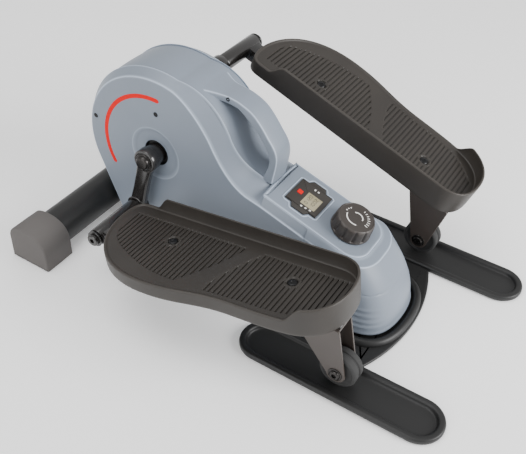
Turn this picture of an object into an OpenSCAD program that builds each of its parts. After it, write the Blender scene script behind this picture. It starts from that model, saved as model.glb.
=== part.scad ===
// Under-desk elliptical pedal exerciser.
// +X is the rider's right, +Y points away from the rider, +Z is up.
// The origin is on the floor under the middle of the machine.

/* [Stance] */
// Overall length, stabiliser cap to track ends
overall_length = 593; // [580:1:610]
// Width over the stabiliser end caps
stabiliser_width = 378; // [360:1:400]
// Outer diameter of the stabiliser tube
stabiliser_d = 50; // [46:1:52]
// Distance of each track's centre line from the middle
track_x = 131; // [128:1:134]
// Half the width of a track
track_r = 31; // [29:1:33]
// Length of a track
track_len = 264; // [255:1:270]
// Height of a track's rim
track_rim_z = 8.5; // [8:0.1:9]

/* [Crank] */
// Height of the crank axle
crank_z = 140; // [138:1:142]
// Distance of the crank axle ahead of the middle
crank_y = 161; // [159:1:163]
// Crank throw, axle to pedal spindle
crank_r = 82.5; // [80:0.5:85]
// Angle of the left crank arm above the forward direction
crank_angle = -76.4; // [-80:0.1:-72]
// Diameter of the crank axle
axle_d = 17; // [17:1:17]

/* [Pedals] */
// Distance from the spindle to the roller, along the pedal
roller_u = 338.6; // [336:0.1:341]
// Distance of the roller below the spindle, square to the pedal
roller_w = 78.8; // [77:0.1:80]
// Radius of a roller
roller_r = 23.5; // [23:0.1:24]
// Height of the roller axles when the machine rests
roller_z = 31; // [31:0.1:31.5]
// Distance of the pedal's centre line from the middle
pedal_v = 132.7; // [132:0.1:134]
// Height of the deck above the spindle
deck_w = 24.6; // [24:0.1:26]
// Height of the tall wall's rim above the spindle
wall_w = 43.5; // [42:0.5:45]

/* [Housing] */
// Half width over the side faces
side_x = 48; // [48:1:49]
// Half width of the centre band over the drum
band_x = 34; // [33:1:35]
// Half width of the console deck
deck_x = 40; // [39:1:41]
// Radius of the side faces' round end
drum_r = 106; // [105:1:107]
// Radius of the centre band's round end
band_r = 114; // [113:1:115]
// Wall of the mouldings
wall = 2.5; // [2.4:0.1:2.6]

/* [Drive] */
// Radius of the large belt pulley
pulley_r = 80; // [78:1:82]
// Radius of the small belt pulley
small_pulley_r = 13; // [12:1:14]
// Radius of the flywheel
flywheel_r = 54; // [52:1:55]

/* [Hidden] */
$fn = 48;
dark = [0.13, 0.13, 0.13];
soft_black = [0.2, 0.19, 0.18];
housing_grey = [0.6, 0.64, 0.7];
pedal_brown = [0.27, 0.25, 0.24];
steel = [0.72, 0.72, 0.74];

half_len = overall_length / 2;
plate_z = 1.2;                      // underside of the pressed plates
plate_t = 2;                        // thickness of the pressed plates
floor_z = plate_z + plate_t;        // running surface of the tracks
track_rear = -half_len;
track_front = track_rear + track_len;
cap_depth = 62;
tube_y = half_len - cap_depth / 2;
tube_z = stabiliser_d / 2 + 2;
cap_w = 44;                         // width of an end cap
cap_top = 54.5;                     // height of an end cap
beam_w = 40;
beam_top = 28;
beam_rear = -150;
beam_wall = 2;
plate_x = beam_w / 2;               // inner face of the frame plates
frame_t = 3;
frame_foot = 6;                     // lower edge of the frame plates
shell_r = 21;                       // outside of the crank's bearing shell
bearing_r = 17.5;                   // outside of the crank bearings
shell_half = 29.3;                  // half the length of the bearing shell
deck_slope = 0.31;
deck_tilt = atan(deck_slope);
deck_front = 2;
deck_rear = -133;
deck_front_z = 140.3;
cover_z = 10;                       // lower edge of the housing
seam_y = -60;                       // joint of the side covers and the tail
tail_rear = -186;
fly_y = 30;
fly_z = 86;
fly_w = 16;
fly_axle_r = 5;
fly_bearing_r = 11;                 // outside of the flywheel bearings
pulley_x = -36;                     // plane of the belt
belt_w = 10;
belt_t = 2.4;
run = 0.05;                         // radial clearance of a running fit
arm_x = 58;                         // inner face of a crank arm
arm_t = 13;
boss_x = 42.4;                      // inner end of a crank arm's boss
spindle_end = 150;
tube_r = 11.4;
bush_r = 9.4;
spindle_r = 7;
plate_gap = 15;                     // bracket centre to its outer face
bracket_t = 2.5;
skirt_w = 8;                        // lower edge of a pedal's skirt
low_rim = 4.5;                      // height of its low rim above the deck
deck_screws = [115, 281];           // places of the deck screws along it
screw_hole_r = 3;
roller_w_half = 10.5;
roller_axle_r = 5;
knob_y = -98;
knob_skirt_r = 26;
knob_top_r = 22;
knob_shaft_r = 4;
display_y = -38;
lcd_x = -4;                         // centre of the display window
lcd_v = -6;
button_x = -1;                      // centre of the display button
button_v = 13;
carrier_y = -34;                    // pivot of the magnet carrier
carrier_z = 46;
carrier_r = 64;                     // its arc's radius about the flywheel
pivot_r = 3;
magnet_angle = 250;                 // place of the sensor magnet at rest
magnet_ring = 70;                   // its distance from the crank axle
magnet_r = 4;
rim_w = 5.5;                        // width of a track's rim
foot_inset = 26;                    // from a track's end to its foot
foot_r = 20;
dish_r = 37;                        // dish round the crank opening
opening_r = 18;
screw_head_r = 3.6;                 // cover screws
screw_r = 2;
side_screws = [[257, 161], [157, 200]];
root_screw = [72, 237];             // in the handle's side, above the finger gap
root_screw_r = 2.6;
sheath_route = [[13, -100, 93], [13, -88, 90], [13, -76, 87], [13, -62, 85], [13, -48, 85]];
lead_route = [[-24.6, 137, 82.8], [-25.5, 128, 92], [-26.5, 110, 106], [-26.5, 90, 116],
    [-26, 66, 126], [-23, 40, 134], [-17, 16, 134], [-11, 0, 131], [-8, -16.6, 127]];

function deck_z(y) = deck_front_z + deck_slope * (y - deck_front);
function arc(c, r, a, b, n) = [for (i = [0:n]) let (t = a + (b - a) * i / n)
    [c[0] + r * cos(t), c[1] + r * sin(t)]];
// Bezier curve in n steps, without its last point when open is 1
function bez(p, q, r, s, n = 8, first = 0, open = 0) = [for (i = [first:n - open])
    let (t = i / n, u = 1 - t)
    u * u * u * p + 3 * u * u * t * q + 3 * u * t * t * r + t * t * t * s];
// Moves a counter-clockwise outline inwards by d
function unit(v) = v / norm(v);
function shrink(p, d) = let (n = len(p)) [for (i = [0:n - 1])
    let (a = unit(p[i] - p[(i + n - 1) % n]), b = unit(p[(i + 1) % n] - p[i]),
         m = unit([-a[1] - b[1], a[0] + b[0]]), k = m * [-a[1], a[0]])
    p[i] + m * d / max(k, 0.5)];

crank_c = [crank_y, crank_z];
fly_c = [fly_y, fly_z];
pivot_c = [carrier_y, carrier_z];
function pin(a) = crank_c + crank_r * [cos(a), sin(a)];
magnet_at = crank_c + magnet_ring * [cos(magnet_angle), sin(magnet_angle)];
pin_left = pin(crank_angle);
pin_right = pin(crank_angle + 180);
roller_reach = norm([roller_u, roller_w]);
// Angle by which a pedal slopes down to its roller
function slope_of(p) = asin((p[1] - roller_z) / roller_reach)
    - atan(roller_w / roller_u);
slope_left = slope_of(pin_left);
slope_right = slope_of(pin_right);

// Outline of a side face, from the front foot round the drum to the seam
side_outline = concat([[220, cover_z]], arc(crank_c, drum_r, -23, 104, 20),
    bez(crank_c + drum_r * [cos(104), sin(104)], [113, 238], [85, 206],
        [73, 183], 7, 1),
    bez([73, 183], [62, 164], [45, 138.5], [8.8, 129.4], 6, 1),
    [[deck_front, 127.8], [seam_y, 108.6], [seam_y, cover_z]]);
// Centre band from its front foot to the console
band_curve = concat([[224, cover_z]], arc(crank_c, band_r, -23, 105, 20),
    bez(crank_c + band_r * [cos(105), sin(105)], [100, 251], [70, 232],
        [58, 199], 7, 1),
    bez([58, 199], [50, 176], [38, 155], [5, 145], 6, 1));
band_outline = concat(band_curve, [[deck_front, 144], [deck_front, cover_z]]);
// Inner edge of a side cover, with as many points as the side face
inner_outline = concat(band_curve, [[deck_front, deck_front_z - 3.4],
    [seam_y, deck_z(seam_y) - 3.4], [seam_y, cover_z]]);
// Share of the way from the side face out to the inner edge at x: even over
// the drum, and steep beside the console before it levels off
function cover_share(x, console) = console
    ? min(1, (side_x - x) / (side_x - deck_x)) - 0.012 * (x - band_x)
    : (side_x - x) / (side_x - band_x);
function cover_outline(x) = let (n = len(side_outline)) [for (i = [0:n - 1])
    side_outline[i] + (inner_outline[i] - side_outline[i])
        * cover_share(x, i > n - 4)];

// Handle in side view: upper edge, then the edge over the fingers
handle_outline = concat(
    bez([109, 243], [90, 241], [68, 243.5], [48, 234], 8),
    bez([48, 234], [31, 225], [3, 194], [1, 178], 8, 1),
    [[4, 142], [17, 146]],
    bez([13, 171], [12, 182], [24, 200], [34, 213], 8),
    bez([34, 213], [44, 226], [58, 235], [80, 233], 8, 1),
    [[104, 240]]);

// Pedal seen from above, u rearwards and v away from the middle
pedal_outline = concat(
    bez([24, 118], [24, 88], [34, 86], [46, 86], 5),
    bez([318, 86], [345, 86], [356, 105], [356, 136], 7),
    bez([356, 136], [356, 165], [340, 187], [310, 192], 7, 1),
    bez([310, 192], [288, 195.5], [268, 196], [240, 196.5], 4, 1),
    bez([240, 196.5], [190, 197.5], [175, 212], [125, 212], 7, 1),
    bez([125, 212], [52, 212], [24, 160], [24, 118], 9, 1, 1));

// Solid between two rings of as many points each
module loft(a, b) {
    n = len(a);
    polyhedron(points = concat(a, b), faces = concat(
        [[for (i = [0:n - 1]) i]], [[for (i = [0:n - 1]) 2 * n - 1 - i]],
        [for (i = [0:n - 1]) let (j = (i + 1) % n) [j, i, n + i]],
        [for (i = [0:n - 1]) let (j = (i + 1) % n) [j, n + i, n + j]]));
}
// Lifts an (x, z) outline to the plane at y
function at_y(p, y) = [for (q = p) [q[0], y, q[1]]];

// A (y, z) drawing thickened from x0 to x1
module slab(x0, x1) {
    translate([x0, 0, 0]) rotate([90, 0, 90])
        linear_extrude(x1 - x0) children();
}
// A cylinder along X at a (y, z) place
module rod(c, r, x0, x1, r2 = 0) {
    translate([x0, c[0], c[1]]) rotate([0, 90, 0])
        cylinder(h = x1 - x0, r1 = r, r2 = r2 > 0 ? r2 : r);
}
// Puts children on the sloping deck at y, square to its surface
module on_deck(y) {
    translate([0, y, deck_z(y)]) rotate([deck_tilt, 0, 0]) children();
}
// Puts pedal parts, drawn in u, v and w, at a spindle on one side
module at_pedal(p, slope, side) {
    translate([0, p[0], p[1]]) rotate([slope, 0, 0])
        multmatrix([[0, side, 0, 0], [-1, 0, 0, 0], [0, 0, 1, 0],
                    [0, 0, 0, 1]]) children();
}
module on_left() { at_pedal(pin_left, slope_left, -1) children(); }
module on_right() { at_pedal(pin_right, slope_right, 1) children(); }

// ---- Base ----
module stabiliser_tube() {
    color(dark) translate([0, tube_y, tube_z]) rotate([0, 90, 0])
        difference() {
            cylinder(h = stabiliser_width - 24, d = stabiliser_d, center = true);
            cylinder(h = stabiliser_width, d = stabiliser_d - 4, center = true);
        }
}
// Rubber foot and cap: flat base, blunt front and a rounded top
module end_cap(side) {
    x0 = stabiliser_width / 2 - cap_w;
    x1 = stabiliser_width / 2;
    outline = concat(
        [[tube_y - cap_depth / 2, 0], [tube_y + cap_depth / 2, 0]],
        bez([tube_y + cap_depth / 2, 38], [tube_y + 30, 50],
            [tube_y + 20, cap_top], [tube_y + 6, cap_top], 6),
        bez([tube_y - 4, cap_top], [tube_y - 24, 54], [tube_y - cap_depth / 2, 42],
            [tube_y - cap_depth / 2, 24], 6));
    color(soft_black) difference() {
        slab(side > 0 ? x0 : -x1, side > 0 ? x1 : -x0) polygon(outline);
        translate([0, tube_y, tube_z]) rotate([0, 90, 0])
            cylinder(h = stabiliser_width - 24, d = stabiliser_d,
                     center = true);
    }
}
module end_cap_left() { end_cap(-1); }
module end_cap_right() { end_cap(1); }
module main_beam() {
    color(dark) difference() {
        translate([-beam_w / 2, beam_rear, floor_z])
            cube([beam_w, tube_y - beam_rear, beam_top - floor_z]);
        translate([-beam_w / 2 + beam_wall, beam_rear - 1, floor_z + beam_wall])
            cube([beam_w - 2 * beam_wall, tube_y - beam_rear + 50,
                  beam_top - floor_z - 2 * beam_wall]);
        rod([tube_y, tube_z], stabiliser_d / 2, -beam_w, beam_w);
    }
}
module frame_plate(x0) {
    color(dark) difference() {
        slab(x0, x0 + frame_t) union() {
            hull() {
                translate([110, frame_foot]) square([100, 4]);
                translate(crank_c) circle(30);
            }
            hull() {
                translate([-45, frame_foot]) square([150, 4]);
                translate(fly_c) circle(20);
                translate(pivot_c) circle(10);
            }
            translate([90, frame_foot]) square([40, 20]);
        }
        rod(crank_c, shell_r, x0 - 1, x0 + frame_t + 1);
        rod(fly_c, fly_bearing_r, x0 - 1, x0 + frame_t + 1);
        rod(pivot_c, pivot_r, x0 - 1, x0 + frame_t + 1);
    }
}
module frame_plate_left() { frame_plate(-plate_x - frame_t); }
module frame_plate_right() { frame_plate(plate_x); }
module bearing_shell() {
    color(dark) difference() {
        rod(crank_c, shell_r, -shell_half, shell_half);
        rod(crank_c, bearing_r, -shell_half - 1.7, shell_half + 1.7);
    }
}
module bearing_ring(c, outer, inner, x0, x1) {
    color(steel) difference() {
        rod(c, outer, x0, x1);
        rod(c, inner, x0 - 1, x1 + 1);
    }
}
module crank_bearings() {
    for (x0 = [19, -29]) bearing_ring(crank_c, bearing_r, axle_d / 2 + run, x0, x0 + 10);
}
module flywheel_bearings() {
    for (s = [-1, 1])
        bearing_ring(fly_c, fly_bearing_r, fly_axle_r + run,
            s > 0 ? 14 : -plate_x - frame_t,
            s > 0 ? plate_x + frame_t : -14);
}
// The pan joins both tracks under the tail; its rear edge is one long arc
module base_pan() {
    rear_r = 235;
    color(dark) difference() {
        union() {
            translate([0, 0, plate_z]) linear_extrude(plate_t) intersection() {
                translate([0, rear_r - 201]) circle(rear_r, $fn = 160);
                translate([-track_x + track_r + 0.05, -210])
                    square([2 * (track_x - track_r) - 0.1, 175]);
            }
            translate([0, 0, floor_z]) linear_extrude(8)
                tail_plan(9);
        }
        translate([0, 0, floor_z]) linear_extrude(20) tail_plan(4);
        translate([-beam_w / 2 - 0.1, beam_rear + 0.1, floor_z])
            cube([beam_w + 0.2, 400, 40]);
    }
}
// Plan of the tail's foot, grown by g
module tail_plan(g) {
    r = 36;
    x = 62 + g;
    y = tail_rear - g;
    polygon(concat([[x, seam_y]], [[-x, seam_y]],
        arc([-x + r, y + r], r, 180, 250, 8),
        [[0, y]], arc([x - r, y + r], r, 290, 360, 8)));
}
module track(side) {
    color(dark) translate([side * track_x, 0, 0]) difference() {
        stadium(track_r, 0, plate_z, track_rim_z);
        stadium(track_r - rim_w, rim_w, floor_z, track_rim_z + 1);
    }
}
module stadium(r, inset, z0, z1) {
    translate([0, 0, z0]) linear_extrude(z1 - z0) union() {
        translate([0, track_rear + inset + r]) circle(r, $fn = 64);
        translate([0, track_front - inset - r]) circle(r, $fn = 64);
        translate([-r, track_rear + inset + r])
            square([2 * r, track_len - 2 * inset - 2 * r]);
    }
}
module track_left() { track(-1); }
module track_right() { track(1); }
module track_feet() {
    color(soft_black)
        for (s = [-1, 1], y = [track_rear + foot_inset, track_front - foot_inset])
            translate([s * track_x, y, 0]) cylinder(h = plate_z, r = foot_r);
}

// ---- Housing ----
// The hollow inside an outline, run out through its lower and rear edges
function hollow(outline) = let (p = shrink(outline, wall + 1), n = len(p))
    concat([[p[0][0], cover_z - 5]], [for (i = [1:n - 3]) p[i]],
        [[seam_y - 5, p[n - 2][1] - deck_slope * (wall + 6)],
         [seam_y - 5, cover_z - 5]]);
// A side face with rings stepping out from it to the band and the console
module side_cover(side) {
    steps = [side_x, side_x - wall, 43, deck_x, 37, band_x];
    color(housing_grey) mirror([side > 0 ? 1 : 0, 0, 0]) difference() {
        union() {
            slab(-side_x, -side_x + wall) polygon(side_outline);
            for (i = [1:4]) slab(-steps[i], -steps[i + 1]) difference() {
                polygon(cover_outline(steps[i + 1]));
                polygon(hollow(cover_outline(steps[i])));
            }
            rod(crank_c, dish_r + 3, -side_x + 1, -side_x + 5);
        }
        rod(crank_c, dish_r, -side_x - 0.01, -side_x + 2.2, dish_r - 5);
        rod(crank_c, opening_r, -side_x - 1, -side_x + 6);
        for (c = side_screws) {
            rod(c, screw_head_r + 0.4, -side_x - 1, -side_x + 1.2);
            rod(c, screw_r, -side_x - 1, -side_x + 6);
        }
    }
}
module side_cover_left() { side_cover(-1); }
module side_cover_right() { side_cover(1); }
module drum_cover() {
    x = band_x - 0.2;
    inner = shrink(band_outline, wall);
    color(housing_grey) difference() {
        slab(-x, x) polygon(band_outline);
        slab(-x - 1, x + 1) polygon(concat(
            [[deck_front - 2, 0], [inner[0][0] - 1, 0]],
            [for (p = inner) if (p[0] > deck_front + 3) p],
            [[deck_front - 2, 141]]));
        translate([-beam_w / 2 - 0.5, 150, 0]) cube([beam_w + 1, 120, beam_top + 0.5]);
    }
}
module console_deck() {
    run_len = (deck_front - deck_rear) / cos(deck_tilt);
    color(housing_grey) difference() {
        on_deck(deck_front) translate([0, -1.2, -3]) linear_extrude(3)
            union() {
                translate([-deck_x, -run_len + 26]) square([2 * deck_x, run_len - 26]);
                translate([-deck_x + 26, -run_len])
                    square([2 * deck_x - 52, 30]);
                for (s = [-1, 1])
                    translate([s * (deck_x - 26), -run_len + 26]) circle(26);
            }
        on_deck(display_y) translate([-19, -20, -8]) cube([38, 40, 16]);
        on_deck(knob_y) translate([0, 0, -8]) cylinder(h = 16, r = knob_shaft_r + run);
    }
}
// Outline of the tail where it meets the side covers, let down by drop
function seam_ring(g, drop) = let (low = cover_z - g, x = side_x - g,
    side = 108.6 - g - drop, top = deck_z(seam_y) - 3.1 - g - drop)
    [[-x, low], [x, low], [x, side], [deck_x - g, top],
     [-deck_x + g, top], [-x, side]];
module tail_body(g) {
    hull() {
        translate([0, seam_y, 0]) loft(
            at_y(seam_ring(g, 0), -0.01),
            at_y(seam_ring(g, deck_slope), -1));
        translate([0, 0, cover_z - g]) linear_extrude(8)
            tail_foot(62 - g, tail_rear + g, 34);
        translate([0, 0, 58]) linear_extrude(1)
            tail_foot(54 - g, -163 + g, 30);
        translate([0, 0, 92]) linear_extrude(1)
            tail_foot(47 - g, -146 + g, 30);
        on_deck(deck_rear) translate([0, 28, -3.1 - g - 1])
            linear_extrude(1) circle(34 - g);
    }
}
module tail_foot(x, y, r) {
    polygon(concat([[x, seam_y - 40]], [[-x, seam_y - 40]],
        arc([-x + r, y + r], r, 180, 250, 5),
        arc([x - r, y + r], r, 290, 360, 5)));
}
module tail_cover() {
    color(housing_grey) difference() {
        tail_body(0);
        tail_body(wall);
        translate([-100, seam_y - 5, cover_z - 5]) cube([200, 10, 4.99]);
        on_deck(deck_front) translate([-80, -160, -3.2]) cube([160, 180, 60]);
        translate([-side_x + wall, seam_y - 4, cover_z - 1])
            cube([2 * (side_x - wall), 5, 96]);
        translate([-beam_w / 2 - 1, -160, 0]) cube([beam_w + 2, 120, beam_top + 1]);
        on_deck(knob_y) translate([0, 0, -30]) cylinder(h = 60, r = 12);
    }
}
module carry_handle() {
    half = 17;
    color(housing_grey) difference() {
        slab(-half, half) polygon(handle_outline);
        slab(-half - 1, half + 1) polygon(concat([[130, 200]],
            [for (p = band_curve) if (p[1] > 130 && p[0] < 130) p + [0, 0.15]],
            [[deck_front - 6, 142], [deck_front - 6, 120]]));
        rod(root_screw, root_screw_r, -half - 1, -half + 6);
    }
}
module cover_screws() {
    color(dark) {
        for (c = side_screws, s = [0, 1]) mirror([s, 0, 0]) {
            rod(c, screw_head_r, -side_x + 0.3, -side_x + 1.2);
            rod(c, screw_r, -side_x + 1.2, -side_x + 8);
        }
        rod(root_screw, root_screw_r, -15, -11);
    }
}

// ---- Console ----
module display_case() {
    color(dark) on_deck(display_y) difference() {
        union() {
            translate([-18.6, -19.6, -14]) cube([37.2, 39.2, 14.2]);
            translate([-22, -22.5, 0.05]) cube([44, 45, 2.2]);
            translate([-28.5, -13, 0.05]) cube([57, 26, 2.2]);
        }
        translate([-16.6, -17.6, -12]) cube([33.2, 35.2, 12.2]);
        translate([lcd_x - 11.5, lcd_v - 10.5, -1]) cube([23, 21, 6]);
        translate([button_x, button_v, -1]) cylinder(h = 6, r = 3.7);
    }
}
module lcd_window() {
    color([0.7, 0.68, 0.5]) on_deck(display_y)
        translate([lcd_x - 11.4, lcd_v - 10.4, -0.8]) cube([22.8, 20.8, 2.2]);
}
module display_board() {
    color([0.1, 0.35, 0.15]) on_deck(display_y)
        translate([-16, -17, -5]) cube([32, 34, 1.6]);
}
module battery_cell() {
    color(steel) on_deck(display_y) translate([0, 0, -8.9])
        rotate([90, 0, 0]) cylinder(h = 34, r = 2.9, center = true);
}
module display_button() {
    color("red") on_deck(display_y) translate([button_x, button_v, 0]) union() {
        translate([0, 0, -0.9]) cylinder(h = 4.1, r = 3.4);
        translate([0, 0, -0.9]) cylinder(h = 0.9, r = 4.3);
    }
}
module resistance_knob() {
    color(soft_black) on_deck(knob_y) difference() {
        union() {
            translate([0, 0, 0.8]) cylinder(h = 17, r1 = knob_skirt_r, r2 = knob_skirt_r - 1);
            translate([0, 0, 17.8]) cylinder(h = 4.5, r1 = knob_skirt_r - 1, r2 = knob_top_r);
        }
        for (i = [0:11]) rotate([0, 0, i * 30 + 15])
            translate([knob_skirt_r + 2.6, 0, 0]) cylinder(h = 17, r = 4);
        cylinder(h = 12, r = knob_shaft_r);
    }
}
module knob_spindle() {
    color(steel) on_deck(knob_y) union() {
        translate([0, 0, -10]) cylinder(h = 22, r = knob_shaft_r);
        translate([0, 0, -16]) cylinder(h = 6, r = 9);
    }
}

// ---- Drive ----
module crank_axle() { color(steel) rod(crank_c, axle_d / 2, -72, 72); }
module crank_arm(side, p) {
    x0 = side > 0 ? arm_x : -arm_x - arm_t;
    color(dark) difference() {
        union() {
            slab(x0 + 1.5, x0 + arm_t - 1.5) hull() {
                translate(crank_c) circle(13);
                translate(p) circle(12);
            }
            rod(crank_c, 16, x0, x0 + arm_t);
            rod(p, 14, x0, x0 + arm_t);
            rod(crank_c, 14, side > 0 ? boss_x : -arm_x, side > 0 ? arm_x : -boss_x);
        }
        rod(crank_c, axle_d / 2, -80, 80);
        rod(p, spindle_r, -80, 80);
    }
}
module crank_arm_left() { crank_arm(-1, pin_left); }
module crank_arm_right() { crank_arm(1, pin_right); }
module axle_nuts() {
    color(steel) for (s = [-1, 1])
        rod(crank_c, 9.5, s > 0 ? 72 : -77, s > 0 ? 77 : -72);
}
module drive_pulley() {
    x0 = pulley_x - belt_w / 2;
    color(soft_black) difference() {
        union() {
            rod(crank_c, pulley_r, x0, x0 + belt_w);
            rod(crank_c, pulley_r + 1.5, x0 - 1, x0);
            rod(crank_c, pulley_r + 1.5, x0 + belt_w, x0 + belt_w + 1);
        }
        rod(crank_c, axle_d / 2, x0 - 3, x0 + belt_w + 3);
        rod(crank_c, pulley_r - 8, x0 - 2, x0 + 3);
        for (i = [0:5]) rod(crank_c + 46 * [cos(i * 60 + 10), sin(i * 60 + 10)], 16,
            x0 - 3, x0 + belt_w + 3);
        rod(magnet_at, magnet_r, x0 + belt_w - 2, x0 + belt_w + 3);
    }
}
module sensor_magnet() {
    x1 = pulley_x + belt_w / 2 - 2;
    color(steel) rod(magnet_at, magnet_r, x1, x1 + 3.5);
}
module pedal_spindle(p, side) {
    rod(p, spindle_r, side > 0 ? arm_x : -spindle_end,
        side > 0 ? spindle_end : -arm_x);
}
module pedal_spindles() {
    color(steel) {
        pedal_spindle(pin_left, -1);
        pedal_spindle(pin_right, 1);
    }
}
module spindle_bolts() {
    color(steel) for (s = [-1, 1]) let (p = s < 0 ? pin_left : pin_right)
        difference() {
            union() {
                rod(p, 11, s > 0 ? spindle_end : -spindle_end - 2,
                    s > 0 ? spindle_end + 2 : -spindle_end);
                rod(p, 7, s > 0 ? spindle_end + 2 : -spindle_end - 7,
                    s > 0 ? spindle_end + 7 : -spindle_end - 2);
            }
            translate([s * (spindle_end + 5.5), p[0], p[1]])
                rotate([0, 90, 0]) cylinder(h = 6, r = 3.6, $fn = 6, center = true);
        }
}
module belt_loop(g) {
    hull() {
        translate(crank_c) circle(pulley_r + g, $fn = 80);
        translate(fly_c) circle(small_pulley_r + g, $fn = 40);
    }
}
module drive_belt() {
    color(dark) slab(pulley_x - belt_w / 2 + 0.5, pulley_x + belt_w / 2 - 0.5)
        difference() {
            belt_loop(0.3 + belt_t);
            belt_loop(0.3);
        }
}
module flywheel() {
    color(steel) difference() {
        rod(fly_c, flywheel_r, -fly_w / 2, fly_w / 2);
        rod(fly_c, flywheel_r - 14, -fly_w / 2 - 1, -4);
        rod(fly_c, flywheel_r - 14, 4, fly_w / 2 + 1);
        rod(fly_c, fly_axle_r, -20, 20);
    }
}
module flywheel_axle() { color(steel) rod(fly_c, fly_axle_r, -43, 26); }
module belt_pulley() {
    x0 = pulley_x - belt_w / 2;
    color(steel) difference() {
        union() {
            rod(fly_c, small_pulley_r, x0, x0 + belt_w);
            rod(fly_c, small_pulley_r + 2, x0 - 1, x0);
            rod(fly_c, small_pulley_r + 2, x0 + belt_w, x0 + belt_w + 1);
        }
        rod(fly_c, fly_axle_r, x0 - 3, x0 + belt_w + 3);
    }
}

// ---- Magnetic brake ----
module magnet_carrier() {
    color(soft_black) difference() {
        slab(-9, 9) union() {
            polygon(concat(arc(fly_c, carrier_r + 3, 168, 212, 10),
                           arc(fly_c, carrier_r, 212, 168, 10)));
            hull() {
                translate(pivot_c) circle(6);
                translate(fly_c + (carrier_r + 1.5) * [cos(208), sin(208)]) circle(2);
            }
        }
        rod(pivot_c, pivot_r + run, -20, 20);
    }
}
module brake_magnets() {
    color(steel) for (a = [172, 184, 196])
        translate([0, fly_y, fly_z]) rotate([a, 0, 0])
            translate([-7, carrier_r - 4, -5]) cube([14, 4 - 0.45, 10]);
}
module magnet_pivot_pin() {
    color(steel) rod(pivot_c, pivot_r, -plate_x - frame_t, plate_x + frame_t);
}
// Closed tube through n + 1 rings of eight points each
module tube(pts, n) {
    polyhedron(points = pts, faces = concat(
        [[for (k = [0:7]) 7 - k]], [[for (k = [0:7]) n * 8 + k]],
        [for (i = [0:n - 1]) for (k = [0:7]) let (m = (k + 1) % 8)
            [i * 8 + k, i * 8 + m, i * 8 + 8 + m]],
        [for (i = [0:n - 1]) for (k = [0:7]) let (m = (k + 1) % 8)
            [i * 8 + k, i * 8 + 8 + m, i * 8 + 8 + k]]));
}
// A coil about X, swept as a tube of eight sides
module coil(c, r, wire, x0, pitch, turns, steps = 12) {
    n = turns * steps;
    ring = [for (k = [0:7]) wire * [cos(k * 45), sin(k * 45)]];
    pts = [for (i = [0:n]) let (a = 360 * i / steps)
        for (q = ring) [x0 + pitch * i / steps + q[0],
            c[0] + (r + q[1]) * cos(a), c[1] + (r + q[1]) * sin(a)]];
    tube(pts, n);
}
module return_spring() {
    color(steel) coil(pivot_c, 4.6, 0.7, 10.5, 2.1, 4);
}
// A round lead swept along a list of points
module lead(pts, r) {
    n = len(pts);
    function along(i) = unit(pts[min(i + 1, n - 1)] - pts[max(i - 1, 0)]);
    rings = [for (i = [0:n - 1]) let (t = along(i), u = unit(cross(t, [1, 0, 0])),
        v = cross(t, u)) for (k = [0:7]) pts[i] + r * (u * cos(k * 45) + v * sin(k * 45))];
    tube(rings, n - 1);
}
module cable_sheath() { color(dark) lead(sheath_route, 2); }
module speed_sensor() {
    color(dark) translate([-plate_x - frame_t - 3, magnet_at[0] - 4, magnet_at[1] - 8])
        cube([3, 10, 16]);
}
module sensor_lead() { color(dark) lead(lead_route, 1.1); }

// ---- Pedals ----
module sheet(w0, w1) {
    translate([0, 0, w0]) linear_extrude(w1 - w0) children();
}
// Sole with a skirt below, ribs between and a tall wall inboard and behind
module pedal_tray() {
    rim = wall + 0.5;
    inner = shrink(pedal_outline, rim);
    difference() {
        union() {
            sheet(skirt_w, deck_w + low_rim) polygon(pedal_outline);
            sheet(deck_w, wall_w) intersection() {
                polygon(pedal_outline);
                union() {
                    translate([64, 80]) square([300, 16]);
                    translate([322, 80]) square([40, 120]);
                }
            }
        }
        sheet(deck_w, wall_w + 1) polygon(inner);
        sheet(skirt_w - 1, deck_w - 3) difference() {
            polygon(inner);
            for (u = [60, 115, 170, 225, 281])
                translate([u - 1.25, 80]) square([2.5, 140]);
            for (u = deck_screws) translate([u, pedal_v]) circle(9);
        }
        for (u = deck_screws) {
            translate([u, pedal_v, 0]) cylinder(h = 60, r = screw_hole_r + 0.2);
            translate([u, pedal_v, deck_w - 3.5]) cylinder(h = 30, r = 6.5);
        }
        for (u = [66:9:316])
            if (abs(u - 198) > 20 && min([for (s = deck_screws) abs(u - s)]) > 8)
                translate([u, 98, deck_w - 1.2]) cube([2.5, 84, 4]);
    }
}
module pedal_screws() {
    for (u = deck_screws) {
        translate([u, pedal_v, 2]) cylinder(h = deck_w - 5.4, r = screw_hole_r);
        translate([u, pedal_v, deck_w - 3.4]) cylinder(h = 2.6, r = 6);
    }
}
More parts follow.
